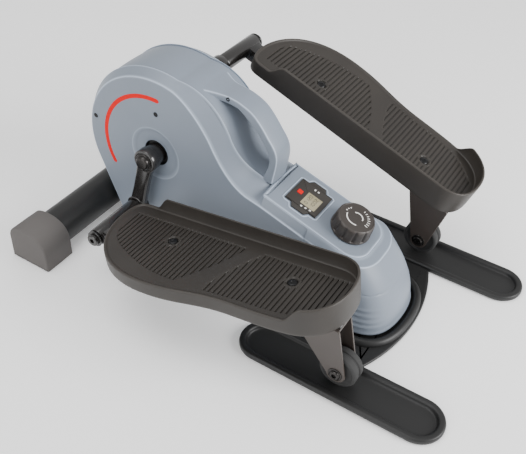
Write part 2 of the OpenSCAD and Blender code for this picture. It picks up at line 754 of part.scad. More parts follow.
// Spindle tube with the flat support arm that runs back under the pedal
module pedal_arm() {
    difference() {
        union() {
            translate([0, 73, 0]) rotate([-90, 0, 0]) cylinder(h = 75, r = tube_r);
            translate([6, pedal_v - 11, -10]) cube([339, 22, 17.9]);
        }
        translate([0, 70, 0]) rotate([-90, 0, 0]) cylinder(h = 90, r = bush_r);
        translate([16, pedal_v - 9, -8]) cube([330, 18, 13.9]);
        for (u = deck_screws) translate([u, pedal_v, 0]) cylinder(h = 20, r = screw_hole_r);
    }
}
module spindle_bushes() {
    for (v = [73, 132]) difference() {
        translate([0, v, 0]) rotate([-90, 0, 0]) cylinder(h = 15.9, r = bush_r);
        translate([0, v - 1, 0]) rotate([-90, 0, 0])
            cylinder(h = 20, r = spindle_r + run);
    }
}
module roller_bracket() {
    difference() {
        union() {
            for (v = [-plate_gap, plate_gap - bracket_t])
                translate([0, pedal_v + v, 0]) rotate([90, 0, 0]) mirror([0, 0, 1])
                    linear_extrude(bracket_t) hull() {
                        translate([roller_u, -roller_w]) circle(12);
                        translate([290, -13]) square([56, 3]);
                    }
            translate([290, pedal_v - plate_gap + bracket_t, -13])
                cube([56, 2 * (plate_gap - bracket_t), 2.9]);
        }
        translate([roller_u, 60, -roller_w]) rotate([-90, 0, 0])
            cylinder(h = 140, r = roller_axle_r);
    }
}
module roller_axle() {
    translate([roller_u, pedal_v - plate_gap - 0.1, -roller_w]) rotate([-90, 0, 0])
        cylinder(h = 2 * plate_gap + 0.2, r = roller_axle_r);
    for (v = [-plate_gap - 3.6, plate_gap + 0.05])
        translate([roller_u, pedal_v + v, -roller_w]) rotate([-90, 0, 0])
            cylinder(h = 3.55, r = 8);
}
module roller() {
    translate([roller_u, pedal_v, -roller_w]) rotate([90, 0, 0]) rotate_extrude($fn = 64)
        polygon([[roller_axle_r + run, -roller_w_half - 0.8],
                 [9, -roller_w_half - 0.8], [9, -roller_w_half + 2],
                 [roller_r - 5, -roller_w_half + 2],
                 [roller_r - 2, -roller_w_half], [roller_r, -roller_w_half + 2],
                 [roller_r, -2], [roller_r - 1.5, -1], [roller_r - 1.5, 1],
                 [roller_r, 2], [roller_r, roller_w_half - 2],
                 [roller_r - 2, roller_w_half], [roller_r - 5, roller_w_half - 2],
                 [9, roller_w_half - 2], [9, roller_w_half + 0.8],
                 [roller_axle_r + run, roller_w_half + 0.8]]);
}
module pedal_left() { color(pedal_brown) on_left() pedal_tray(); }
module pedal_right() { color(pedal_brown) on_right() pedal_tray(); }
module pedal_screws_left() { color(dark) on_left() pedal_screws(); }
module pedal_screws_right() { color(dark) on_right() pedal_screws(); }
module pedal_arm_left() { color(dark) on_left() pedal_arm(); }
module pedal_arm_right() { color(dark) on_right() pedal_arm(); }
module spindle_bushes_left() { color(steel) on_left() spindle_bushes(); }
module spindle_bushes_right() { color(steel) on_right() spindle_bushes(); }
module roller_bracket_left() { color(dark) on_left() roller_bracket(); }
module roller_bracket_right() { color(dark) on_right() roller_bracket(); }
module roller_axle_left() { color(steel) on_left() roller_axle(); }
module roller_axle_right() { color(steel) on_right() roller_axle(); }
module roller_left() { color(soft_black) on_left() roller(); }
module roller_right() { color(soft_black) on_right() roller(); }

stabiliser_tube();
end_cap_left();
end_cap_right();
main_beam();
frame_plate_left();
frame_plate_right();
bearing_shell();
crank_bearings();
flywheel_bearings();
base_pan();
track_left();
track_right();
track_feet();
side_cover_left();
side_cover_right();
drum_cover();
console_deck();
tail_cover();
carry_handle();
cover_screws();
display_case();
lcd_window();
display_board();
battery_cell();
cable_sheath();
speed_sensor();
sensor_lead();
drive_belt();
magnet_pivot_pin();
crank_axle();
crank_arm_left();
crank_arm_right();
drive_pulley();
sensor_magnet();
pedal_spindles();
spindle_bolts();
axle_nuts();
flywheel();
flywheel_axle();
belt_pulley();
resistance_knob();
knob_spindle();
magnet_carrier();
brake_magnets();
return_spring();
display_button();
pedal_left();
pedal_arm_left();
spindle_bushes_left();
roller_bracket_left();
roller_axle_left();
roller_left();
pedal_right();
pedal_arm_right();
spindle_bushes_right();
roller_bracket_right();
roller_axle_right();
roller_right();
pedal_screws_left();
pedal_screws_right();
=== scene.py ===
"""Looks of an under-desk elliptical pedal exerciser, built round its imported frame.

Lengths in this file are millimetres in the frame's axes: +X is the rider's right, +Y points
away from the rider, +Z is up, and the floor is z = 0. Meshes are written out in metres.
"""

import logging
import math
from dataclasses import dataclass, field
from enum import Enum
from typing import Callable, Iterable

import bmesh
import bpy
import numpy as np
from mathutils import Matrix, Vector


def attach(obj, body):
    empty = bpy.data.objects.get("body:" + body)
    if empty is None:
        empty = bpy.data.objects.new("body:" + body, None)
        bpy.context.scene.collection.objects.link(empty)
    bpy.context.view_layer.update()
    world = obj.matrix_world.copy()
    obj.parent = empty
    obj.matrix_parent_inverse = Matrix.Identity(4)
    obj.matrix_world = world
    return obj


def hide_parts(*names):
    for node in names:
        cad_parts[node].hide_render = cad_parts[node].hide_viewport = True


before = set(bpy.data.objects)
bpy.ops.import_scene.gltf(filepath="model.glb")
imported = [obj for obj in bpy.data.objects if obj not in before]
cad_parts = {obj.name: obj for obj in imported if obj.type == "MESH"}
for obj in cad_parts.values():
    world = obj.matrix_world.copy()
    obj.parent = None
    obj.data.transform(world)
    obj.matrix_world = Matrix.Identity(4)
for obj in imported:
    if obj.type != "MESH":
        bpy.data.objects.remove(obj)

LOG = logging.getLogger("pedal_exerciser")
MM = 0.001
TAU = 2 * math.pi
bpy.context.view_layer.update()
Point = tuple[float, float]
ROUND = 0.552  # handle share that makes a Bezier corner a quarter circle


# ---------------------------------------------------------------- curves


def arc(centre: Point, radius: float, start: float, end: float, count: int) -> np.ndarray:
    """Points on a circle, centre + radius (cos a, sin a), from start to end.

    Args:
        centre: Middle of the circle.
        radius: Radius of the circle.
        start: First angle in degrees.
        end: Last angle in degrees.
        count: Number of points.

    Returns:
        An array of count rows of two numbers.
    """
    angle = np.radians(np.linspace(start, end, count))
    return np.array(centre) + radius * np.stack([np.cos(angle), np.sin(angle)], 1)


def bezier(a: Point, b: Point, c: Point, d: Point, count: int) -> np.ndarray:
    """Points on a cubic Bezier curve, the four corners weighted by Bernstein's cubics.

    Args:
        a: Start.
        b: First handle.
        c: Second handle.
        d: End.
        count: Number of points.

    Returns:
        An array of count rows.
    """
    t = np.linspace(0, 1, count)[:, None]
    a, b, c, d = (np.array(p, float) for p in (a, b, c, d))
    return (1 - t) ** 3 * a + 3 * (1 - t) ** 2 * t * b + 3 * (1 - t) * t**2 * c + t**3 * d


def line(a: Point, b: Point, count: int) -> np.ndarray:
    """Evenly spaced points from a to b."""
    return np.linspace(np.array(a, float), np.array(b, float), count)


def chain(*parts: np.ndarray) -> np.ndarray:
    """Joins curves end to end and drops each repeated joint."""
    return np.concatenate([parts[0]] + [part[1:] for part in parts[1:]])


def spline(knots: list, count: int) -> np.ndarray:
    """A smooth curve through its knots: on each span a cubic Hermite with central slopes.

    Args:
        knots: The points that the curve passes, of any dimension.
        count: Number of points to return, evenly spread over the knots.

    Returns:
        An array of count rows.
    """
    p = np.array(knots, float)
    slope = np.gradient(p, axis=0)
    t = np.linspace(0, len(p) - 1, count)
    i = np.minimum(t.astype(int), len(p) - 2)
    f = (t - i)[:, None]
    return (
        (2 * f**3 - 3 * f**2 + 1) * p[i]
        + (f**3 - 2 * f**2 + f) * slope[i]
        + (3 * f**2 - 2 * f**3) * p[i + 1]
        + (f**3 - f**2) * slope[i + 1]
    )


def even(path: np.ndarray, count: int, closed: bool = False) -> np.ndarray:
    """The same curve with its points at equal distances along it.

    Args:
        path: Points of the curve.
        count: Number of points to return.
        closed: Whether the last point joins the first.

    Returns:
        An array of count rows; a closed curve's first point isn't repeated.
    """
    p = np.vstack([path, path[:1]]) if closed else path
    reach = np.concatenate([[0], np.cumsum(np.linalg.norm(np.diff(p, axis=0), axis=1))])
    at = np.linspace(0, reach[-1], count, endpoint=not closed)
    return np.stack([np.interp(at, reach, p[:, k]) for k in range(p.shape[1])], 1)


def inset(outline: np.ndarray, depth: float | np.ndarray) -> np.ndarray:
    """Moves a closed counter-clockwise outline inwards along its own normals.

    Args:
        outline: Points of the outline.
        depth: Distance inwards, one number or one for each point.

    Returns:
        The moved outline.
    """
    along = np.roll(outline, -1, 0) - np.roll(outline, 1, 0)
    along /= np.linalg.norm(along, axis=1)[:, None]
    normal = np.stack([-along[:, 1], along[:, 0]], 1)
    return outline + normal * np.reshape(depth, (-1, 1))


def round_rear(
    start: Point, half: float, rear: float, reach: float, width: float, bend: float, count: int
) -> np.ndarray:
    """Plan line round the rear: a straight side, a Bezier corner and a straight back, mirrored.

    Args:
        start: Left end of the line as (x, y).
        half: Half width at the rear corners.
        rear: Rearmost y.
        reach: Length of a corner along y.
        width: Length of a corner along x.
        bend: Share of each length that the corner's handles take.
        count: Number of points, an odd number.

    Returns:
        An array of count rows, from the left start to its mirror image.
    """
    left = chain(
        line(start, (-half, rear + reach), 26),
        bezier((-half, rear + reach), (-half, rear + reach * (1 - bend)),
               (-half + width * (1 - bend), rear), (-half + width, rear), 40),
        line((-half + width, rear), (0, rear), 10),
    )
    left = even(left, (count + 1) // 2)
    return np.vstack([left, left[-2::-1] * np.array([-1, 1])])


def rounded_box(half_x: float, half_y: float, radius: float, count: int = 8) -> np.ndarray:
    """A rectangle about the origin with round corners, counter-clockwise."""
    corners = [
        arc((sx * (half_x - radius), sy * (half_y - radius)), radius, a, a + 90, count)
        for sx, sy, a in ((1, 1, 0), (-1, 1, 90), (-1, -1, 180), (1, -1, 270))
    ]
    return np.concatenate(corners)


def smooth(t: np.ndarray) -> np.ndarray:
    """The smooth step 3t^2 - 2t^3, held at 0 and 1 outside its span."""
    t = np.clip(t, 0, 1)
    return t * t * (3 - 2 * t)


# ---------------------------------------------------------------- meshes


@dataclass
class Skin:
    """Points and faces of a surface, with one tone for each point.

    Attributes:
        points: Rows of x, y, z in millimetres.
        faces: Tuples of point numbers.
        tone: A number for each point, which a finish reads as a painted highlight along edges.
    """

    points: np.ndarray
    faces: list
    tone: np.ndarray | None = None

    def __post_init__(self) -> None:
        """Gives a surface without tones a tone of 0 everywhere."""
        if self.tone is None:
            self.tone = np.zeros(len(self.points))

    def __add__(self, other: "Skin") -> "Skin":
        """Both surfaces in one."""
        shift = len(self.points)
        moved = [tuple(i + shift for i in face) for face in other.faces]
        return Skin(
            np.vstack([self.points, other.points]),
            self.faces + moved,
            np.concatenate([self.tone, other.tone]),
        )

    def mirrored(self) -> "Skin":
        """The surface reflected in the machine's middle plane, its faces turned to match."""
        return Skin(
            self.points * np.array([-1, 1, 1]), [face[::-1] for face in self.faces], self.tone
        )

    def shaped(self, move: Callable[[np.ndarray], np.ndarray]) -> "Skin":
        """The surface with its points sent through a function."""
        return Skin(move(self.points), self.faces, self.tone)

    def moved(self, x: float, y: float, z: float) -> "Skin":
        """The surface carried along by x, y and z."""
        return self.shaped(lambda p: p + np.array([x, y, z]))

    def sided(self, side: int) -> "Skin":
        """The surface with its x turned to a side, -1 left or 1 right."""
        return self.shaped(lambda p: p * np.array([side, 1, 1]))


def joined(parts: Iterable[Skin]) -> Skin:
    """All the surfaces in one, in their order."""
    first, *rest = parts
    return sum(rest, first)


def grid(
    rows: np.ndarray,
    closed: bool = True,
    caps: tuple[bool, bool] = (True, True),
    looped: bool = False,
    tone: np.ndarray | None = None,
) -> Skin:
    """A surface through a grid of points: quads between neighbours, and a cap on each end row.

    Args:
        rows: An array of rows by columns by three.
        closed: Whether each row closes on itself.
        caps: Whether the first and the last row are filled.
        looped: Whether the last row joins the first.
        tone: One number a row.

    Returns:
        The surface.
    """
    n, m = rows.shape[:2]
    i, j = np.meshgrid(
        np.arange(n if looped else n - 1), np.arange(m if closed else m - 1), indexing="ij"
    )
    i2, j2 = (i + 1) % n, (j + 1) % m
    quads = np.stack([i * m + j, i * m + j2, i2 * m + j2, i2 * m + j], -1).reshape(-1, 4)
    faces = [tuple(quad) for quad in quads.tolist()]
    if caps[0]:
        faces.append(tuple(range(m - 1, -1, -1)))
    if caps[1]:
        faces.append(tuple(range((n - 1) * m, n * m)))
    tones = None if tone is None else np.repeat(np.asarray(tone, float), m)
    return Skin(rows.reshape(-1, 3), faces, tones)


def stack(outline: np.ndarray, profile: list, tone: list | None = None) -> Skin:
    """A slab with a shaped edge: the outline set in by each depth and lifted to each height.

    Args:
        outline: Closed counter-clockwise outline in two numbers.
        profile: Pairs of depth and height, from the foot to the top.
        tone: One number for each pair.

    Returns:
        The closed surface, with the height along its third axis.
    """
    rows = [
        np.column_stack([inset(outline, depth), np.full(len(outline), height)])
        for depth, height in profile
    ]
    return grid(np.array(rows), tone=tone)


def rings(profile: list, count: int) -> np.ndarray:
    """Rings about the x axis, one for each (x, radius) pair, as rows by columns by three."""
    x, r = np.array(profile, float).T
    angle = np.linspace(0, TAU, count, endpoint=False)
    return np.stack(
        [np.repeat(x[:, None], count, 1), r[:, None] * np.cos(angle), r[:, None] * np.sin(angle)],
        -1,
    )


def turned(profile: list, count: int = 64, tone: list | None = None) -> Skin:
    """A lathe shape about the x axis: each (x, radius) pair becomes a ring.

    Args:
        profile: Pairs of x and radius, from one end to the other.
        count: Points round each ring.
        tone: One number for each pair.

    Returns:
        The closed surface.
    """
    return grid(rings(profile, count), tone=tone)


def ring_of(profile: list, count: int = 64) -> Skin:
    """A hollow lathe shape about the x axis, whose closed (x, radius) section makes a ring."""
    return grid(rings(profile, count), caps=(False, False), looped=True)


def sweep(path: np.ndarray, section: np.ndarray, side: np.ndarray, closed: bool = False) -> Skin:
    """Carries a section along a path: its first axis lies along side, its second square to it.

    Args:
        path: Points of the path in space.
        section: Closed outline in two numbers, one for all or one for each path point.
        side: Direction of the section's first axis, one for all or one for each path point.
        closed: Whether the path closes on itself.

    Returns:
        The closed surface.
    """
    along = (
        np.roll(path, -1, 0) - np.roll(path, 1, 0) if closed else np.gradient(path, axis=0)
    )
    along /= np.linalg.norm(along, axis=1)[:, None]
    side = np.broadcast_to(side, path.shape)
    side = side - along * np.sum(side * along, 1)[:, None]
    side /= np.linalg.norm(side, axis=1)[:, None]
    up = np.cross(side, along)
    section = np.broadcast_to(section, (len(path),) + section.shape[-2:])
    rows = (
        path[:, None]
        + section[..., :1] * side[:, None]
        + section[..., 1:] * up[:, None]
    )
    return grid(rows, caps=(not closed, not closed), looped=closed)


def along_x(skin: Skin, centre: Point, start: float = 0.0) -> Skin:
    """A lathe shape moved to a (y, z) centre and along x."""
    return skin.moved(start, *centre)


def standing(skin: Skin, y: float, z: float, tilt: float) -> Skin:
    """A shape drawn with its height along z, put on a surface that tilts about the x axis."""
    c, s = math.cos(tilt), math.sin(tilt)
    turn = np.array([[1, 0, 0], [0, c, s], [0, -s, c]])
    return skin.shaped(lambda p: p @ turn + np.array([0.0, y, z]))


# ---------------------------------------------------------------- shader maths


class Sock:
    """A shader socket whose arithmetic adds Math nodes to its graph."""

    def __init__(self, graph: "Graph", socket: bpy.types.NodeSocket) -> None:
        """Holds the socket and the graph it belongs to."""
        self.graph = graph
        self.socket = socket

    def maths(self, operation: str, *values: "Sock | float", clamp: bool = False) -> "Sock":
        """A Math node on these values."""
        return self.graph.node(
            "ShaderNodeMath", {"operation": operation, "use_clamp": clamp}, list(values)
        )

    def __add__(self, other: "Sock | float") -> "Sock":
        """self + other."""
        return self.maths("ADD", self, other)

    def __mul__(self, other: "Sock | float") -> "Sock":
        """self * other."""
        return self.maths("MULTIPLY", self, other)

    def __sub__(self, other: "Sock | float") -> "Sock":
        """self - other."""
        return self.maths("SUBTRACT", self, other)

    def __rsub__(self, other: float) -> "Sock":
        """other - self."""
        return self.maths("SUBTRACT", other, self)

    def ramp(self, low: float, high: float) -> "Sock":
        """0 below low, 1 above high and smooth between them."""
        return self.graph.node(
            "ShaderNodeMapRange", {"interpolation_type": "SMOOTHSTEP"}, [self, low, high]
        )


class Graph:
    """The node tree of one material, with its Principled surface."""

    def __init__(self, name: str) -> None:
        """Starts a material of that name."""
        self.material = bpy.data.materials.new(name)
        self.material.use_nodes = True
        self.tree = self.material.node_tree
        self.surface = self.tree.nodes["Principled BSDF"]
        self.object_space = self.node("ShaderNodeTexCoord", out="Object")

    def node(
        self,
        kind: str,
        settings: dict | None = None,
        inputs: list | dict | None = None,
        out: int | str = 0,
    ) -> Sock:
        """Adds a node.

        Args:
            kind: The node's type.
            settings: Its properties, set first.
            inputs: Values or links of its sockets, in order or by name.
            out: The output socket to return.

        Returns:
            The chosen output.
        """
        made = self.tree.nodes.new(kind)
        for key, value in (settings or {}).items():
            setattr(made, key, value)
        pairs = enumerate(inputs) if isinstance(inputs, list) else (inputs or {}).items()
        for key, value in pairs:
            if isinstance(value, Sock):
                self.tree.links.new(value.socket, made.inputs[key])
            else:
                made.inputs[key].default_value = value
        return Sock(self, made.outputs[out])

    def noise(self, scale: float, detail: float = 3.0, stretch: tuple = (1, 1, 1)) -> Sock:
        """Noise from 0 to 1 on object coordinates, scale in cells a metre."""
        at = self.node(
            "ShaderNodeMapping", None, {"Vector": self.object_space, "Scale": stretch}
        )
        return self.node(
            "ShaderNodeTexNoise", None, {"Vector": at, "Scale": scale, "Detail": detail}
        )

    def mix(self, share: Sock | float, low: tuple | Sock, high: tuple | Sock) -> Sock:
        """A colour from low to high by share."""
        return self.node(
            "ShaderNodeMix",
            {"data_type": "RGBA"},
            {"Factor": share, 6: low, 7: high},
            out=2,
        )

    def tone(self) -> Sock:
        """The mesh's tone, the share of painted edge highlight at each point."""
        return self.node("ShaderNodeAttribute", {"attribute_name": "tone"}, out="Fac")

    def bump(self, height: Sock, distance: float, strength: float = 1.0) -> Sock:
        """A bumped normal; distance is the height's full size in metres."""
        return self.node(
            "ShaderNodeBump",
            None,
            {"Height": height, "Distance": distance, "Strength": strength},
            out="Normal",
        )

    def set(self, **inputs: "Sock | float | tuple") -> None:
        """Sets the surface's sockets; an underscore in a name stands for a blank."""
        for key, value in inputs.items():
            socket = self.surface.inputs[key.replace("_", " ")]
            if isinstance(value, Sock):
                self.tree.links.new(value.socket, socket)
            else:
                socket.default_value = value


def colour(red: float, green: float, blue: float) -> tuple:
    """A linear colour from the usual 0 to 255 screen values."""
    values = [c / 255 for c in (red, green, blue)]
    return tuple(v / 12.92 if v < 0.04045 else ((v + 0.055) / 1.055) ** 2.4 for v in values) + (1,)


def shade(tint: tuple, factor: float) -> tuple:
    """A colour made lighter or darker by a factor."""
    return tuple(min(1.0, c * factor) for c in tint[:3]) + (1,)


@dataclass(frozen=True)
class Finish:
    """A finish with mottled colour, uneven gloss, a fine grain and painted highlights along its
    edges.

    Attributes:
        name: Name of the material.
        slot: Material slot of the record, not used.
        tint: Main colour.
        roughness: Middle roughness.
        metallic: 1 for bare metal.
        mottle: Share by which the colour varies.
        patch: Cells a metre of the colour's patches.
        grain: Cells a metre of the surface's grain.
        depth: Height of the grain in metres.
        uneven: Amount by which the roughness varies.
        edge: How much lighter the painted highlight makes an edge of tone 1.
        coat: Clear gloss over the colour.
        specular: Strength of the plain reflection.
    """

    name: str
    slot: str
    tint: tuple
    roughness: float
    metallic: float = 0.0
    mottle: float = 0.08
    patch: float = 14.0
    grain: float = 1500.0
    depth: float = 0.00004
    uneven: float = 0.08
    edge: float = 0.0
    coat: float = 0.0
    specular: float = 0.5

    def colour(self, graph: Graph) -> Sock:
        """The mottled colour, with a painted highlight that lightens it along edges."""
        base = graph.mix(
            graph.noise(self.patch).ramp(0.3, 0.7),
            shade(self.tint, 1 - self.mottle),
            shade(self.tint, 1 + self.mottle),
        )
        if not self.edge:
            return base
        # Painted highlight: points of high tone are mixed towards a much lighter tint.
        return graph.mix(graph.tone().maths("MULTIPLY", graph.tone(), self.edge, clamp=True),
                         base, shade(self.tint, 2.2))

    def height(self, graph: Graph) -> Sock:
        """The grain's height."""
        return graph.noise(self.grain, 4.0)

    def build(self) -> bpy.types.Material:
        """Makes the material.

        Returns:
            The material, ready for a mesh.
        """
        graph = Graph(self.name)
        worn = graph.noise(self.patch * 3.1, 5.0)
        graph.set(
            Base_Color=self.colour(graph),
            Roughness=worn * (2 * self.uneven) + (self.roughness - self.uneven),
            Metallic=self.metallic,
            Coat_Weight=self.coat,
            Coat_Roughness=0.12,
            Specular_IOR_Level=self.specular,
            Normal=graph.bump(self.height(graph), self.depth),
        )
        return graph.material


@dataclass(frozen=True)
class BrushedSteel(Finish):
    """Bright steel with fine marks turned round the axle direction."""

    def height(self, graph: Graph) -> Sock:
        """Marks long round the part and short across it."""
        return graph.noise(self.grain, 2.0, (8.0, 1.0, 1.0))


@dataclass(frozen=True)
class Leathered(Finish):
    """Moulded plastic with a pebbled skin from cells of uneven size."""

    def height(self, graph: Graph) -> Sock:
        """Pebbles of two sizes."""
        cells = graph.node(
            "ShaderNodeTexVoronoi",
            {"feature": "SMOOTH_F1"},
            {"Vector": graph.object_space, "Scale": self.grain},
        )
        return cells * 0.7 + graph.noise(self.grain * 2.2, 3.0) * 0.5


@dataclass(frozen=True)
class Circuit(Finish):
    """A green board with paler tracks in a square weave."""

    def colour(self, graph: Graph) -> Sock:
        """Tracks where a stretched noise crosses its middle."""
        lines = graph.noise(420.0, 0.0, (1.0, 0.25, 1.0)) - 0.5
        share = 1 - lines.maths("ABSOLUTE", lines).ramp(0.015, 0.03)
        return graph.mix(share, self.tint, shade(self.tint, 2.4))


class Look(Enum):
    """Every finish of the machine."""

    HOUSING = Finish(
        "housing_satin", "housing_plastic", colour(126, 135, 147), 0.42, mottle=0.03,
        patch=9, grain=2600, depth=0.00002, uneven=0.05, edge=1.0, specular=0.4,
    )
    PEDAL = Leathered(
        "pedal_moulding", "pedal_plastic", colour(44, 40, 36), 0.46, mottle=0.1,
        grain=1300, depth=0.00005, uneven=0.07, edge=0.35, specular=0.45,
    )
    TRACK = Finish(
        "black_powder_coat", "black_powder_coat", colour(32, 30, 28), 0.3, mottle=0.12,
        grain=900, depth=0.00003, uneven=0.05, edge=0.1, coat=0.25,
    )
    ENAMEL = Finish(
        "black_enamel", "black_enamel_steel", colour(30, 28, 27), 0.24, mottle=0.1,
        grain=700, depth=0.00002, uneven=0.06, edge=0.15, coat=0.5,
    )
    BRACKET = Finish(
        "bracket_coat", "black_enamel_steel", colour(64, 57, 53), 0.4, mottle=0.08,
        grain=1100, depth=0.00003, edge=0.2,
    )
    FOOT = Leathered(
        "rubber_foot", "rubber_foot", colour(70, 65, 61), 0.62, mottle=0.1,
        grain=900, depth=0.00006, edge=0.25, specular=0.35,
    )
    TYRE = Finish(
        "roller_tyre", "roller_tyre", colour(52, 49, 46), 0.34, mottle=0.15,
        grain=800, depth=0.00004, coat=0.2,
    )
    CONSOLE = Leathered(
        "console_black", "console_black", colour(30, 27, 26), 0.4, mottle=0.08,
        grain=2400, depth=0.00003, edge=0.25,
    )
    KNOB = Leathered(
        "knob_black", "console_black", colour(52, 47, 44), 0.44, mottle=0.08,
        grain=1800, depth=0.00004, edge=0.3,
    )
    PRINT = Finish(
        "white_print", "console_black", colour(222, 220, 216), 0.5, mottle=0.04, depth=0.00001
    )
    GLASS = Finish(
        "display_glass", "lcd_glass", colour(158, 150, 122), 0.14, mottle=0.05,
        patch=40, depth=0.000004, uneven=0.03, coat=0.8,
    )
    SEGMENT = Finish(
        "display_segment", "lcd_glass", colour(50, 48, 42), 0.3, mottle=0.03, depth=0.00001
    )
    RED = Finish(
        "red_plastic", "button_red", colour(222, 0, 2), 0.45, mottle=0.04, depth=0.00002,
        specular=0.2,
    )
    STRIPE = Finish(
        "red_stripe", "housing_plastic", colour(222, 0, 2), 0.6, mottle=0.03, depth=0.00001,
        specular=0.15,
    )
    DARK_STEEL = BrushedSteel(
        "dark_steel", "zinc_steel", colour(58, 56, 55), 0.26, metallic=0.85,
        mottle=0.08, grain=1200, depth=0.00002, edge=0.3,
    )
    BOARD = Circuit("circuit_board", "circuit_board", colour(24, 84, 44), 0.4)
    BELT = Finish("belt_rubber", "belt_rubber", colour(28, 28, 28), 0.7, grain=1800)
    INNER = Leathered("inner_plastic", "inner_plastic", colour(44, 44, 46), 0.5)
    IRON = Finish(
        "flywheel_iron", "flywheel_iron", colour(96, 96, 98), 0.5, metallic=0.9,
        mottle=0.2, grain=500, depth=0.0001,
    )
    SCREW = Finish(
        "black_screw", "black_screws", colour(26, 26, 27), 0.35, metallic=0.6, edge=0.2
    )
    STEEL = BrushedSteel(
        "zinc_steel", "zinc_steel", colour(176, 176, 178), 0.28, metallic=1.0,
        mottle=0.08, grain=1200, depth=0.00002,
    )

    @property
    def material(self) -> bpy.types.Material:
        """The finish's material, made once."""
        return bpy.data.materials.get(self.value.name) or self.value.build()


def place(
    name: str,
    skin: Skin,
    look: Look,
    body: str,
    stands_for: tuple = (),
    crease: float = 35.0,
    wall: float = 0.0,
) -> bpy.types.Object:
    """Turns a surface into a finished piece of the machine.

    Args:
        name: Name of the piece.
        skin: Its surface, in millimetres.
        look: Its finish.
        body: CAD body it moves with.
        stands_for: CAD nodes it is shown in place of.
        crease: Angle in degrees past which an edge stays sharp.
        wall: Thickness in millimetres given inwards to an open surface.

    Returns:
        The object, at the origin.
    """
    mesh = bpy.data.meshes.new(name)
    mesh.from_pydata((skin.points * MM).tolist(), [], skin.faces)
    mesh.attributes.new("tone", "FLOAT", "POINT").data.foreach_set(
        "value", skin.tone.astype(np.float32)
    )
    work = bmesh.new()
    work.from_mesh(mesh)
    bmesh.ops.remove_doubles(work, verts=work.verts, dist=1e-6)
    bmesh.ops.dissolve_degenerate(work, edges=work.edges, dist=1e-7)
    bmesh.ops.recalc_face_normals(work, faces=work.faces)
    closed = all(edge.is_manifold for edge in work.edges)
    if closed and work.calc_volume(signed=True) < 0:
        bmesh.ops.reverse_faces(work, faces=work.faces)
    work.to_mesh(mesh)
    work.free()
    mesh.shade_smooth()
    mesh.set_sharp_from_angle(angle=math.radians(crease))
    mesh.materials.append(look.material)
    piece = bpy.data.objects.new(name, mesh)
    bpy.context.scene.collection.objects.link(piece)
    if wall:
        shell = piece.modifiers.new("wall", "SOLIDIFY")
        shell.thickness = wall * MM
        shell.offset = -1
        shell.use_even_offset = False
    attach(piece, body)
    if stands_for:
        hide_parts(*stands_for)
    LOG.info("%s: %d faces, rides on %s", name, len(mesh.polygons), body)
    return piece


# ---------------------------------------------------------------- shared layout


@dataclass(frozen=True)
class Layout:
    """Places that several sub-assemblies share, in millimetres.

    Attributes:
        crank: Crank axle as (y, z).
        throw: Distance from the crank axle to a pedal spindle.
        crank_angle: Angle of the left crank arm in degrees.
        side_x: Half width over the side faces.
        band_x: Half width of the centre band.
        deck_x: Half width of the console deck.
        deck_front: Front end of the deck.
        deck_rear: Rear end of the deck.
        deck_front_z: Height of the deck's front end.
        deck_slope: Rise of the deck for each millimetre forwards.
        seam_y: Joint of the side covers and the tail.
        foot_z: Lower edge of the housing.
    """

    crank: Point = (161.0, 140.0)
    throw: float = 82.5
    crank_angle: float = -76.4
    side_x: float = 48.0
    band_x: float = 34.0
    deck_x: float = 40.0
    deck_front: float = 2.0
    deck_rear: float = -133.0
    deck_front_z: float = 140.3
    deck_slope: float = 0.31
    seam_y: float = -60.0
    foot_z: float = 10.0

    def deck_z(self, y: float | np.ndarray) -> float | np.ndarray:
        """Height of the deck's surface at y."""
        return self.deck_front_z + self.deck_slope * (y - self.deck_front)

    @property
    def tilt(self) -> float:
        """Slope of the deck in radians."""
        return math.atan(self.deck_slope)

    def pin(self, side: int) -> Point:
        """The pedal spindle of a side (-1 left, 1 right) as (y, z)."""
        angle = math.radians(self.crank_angle + (180 if side > 0 else 0))
        return (
            self.crank[0] + self.throw * math.cos(angle),
            self.crank[1] + self.throw * math.sin(angle),
        )


PLAN = Layout()


class Side(Enum):
    """The rider's left and right."""

    LEFT = -1
    RIGHT = 1

    @property
    def word(self) -> str:
        """The side's name as the CAD nodes spell it."""
        return self.name.lower()

    def of_left(self, skin: Skin) -> Skin:
        """The left side's surface, reflected if this is the right side."""
        return skin.mirrored() if self is Side.RIGHT else skin


# ---------------------------------------------------------------- housing


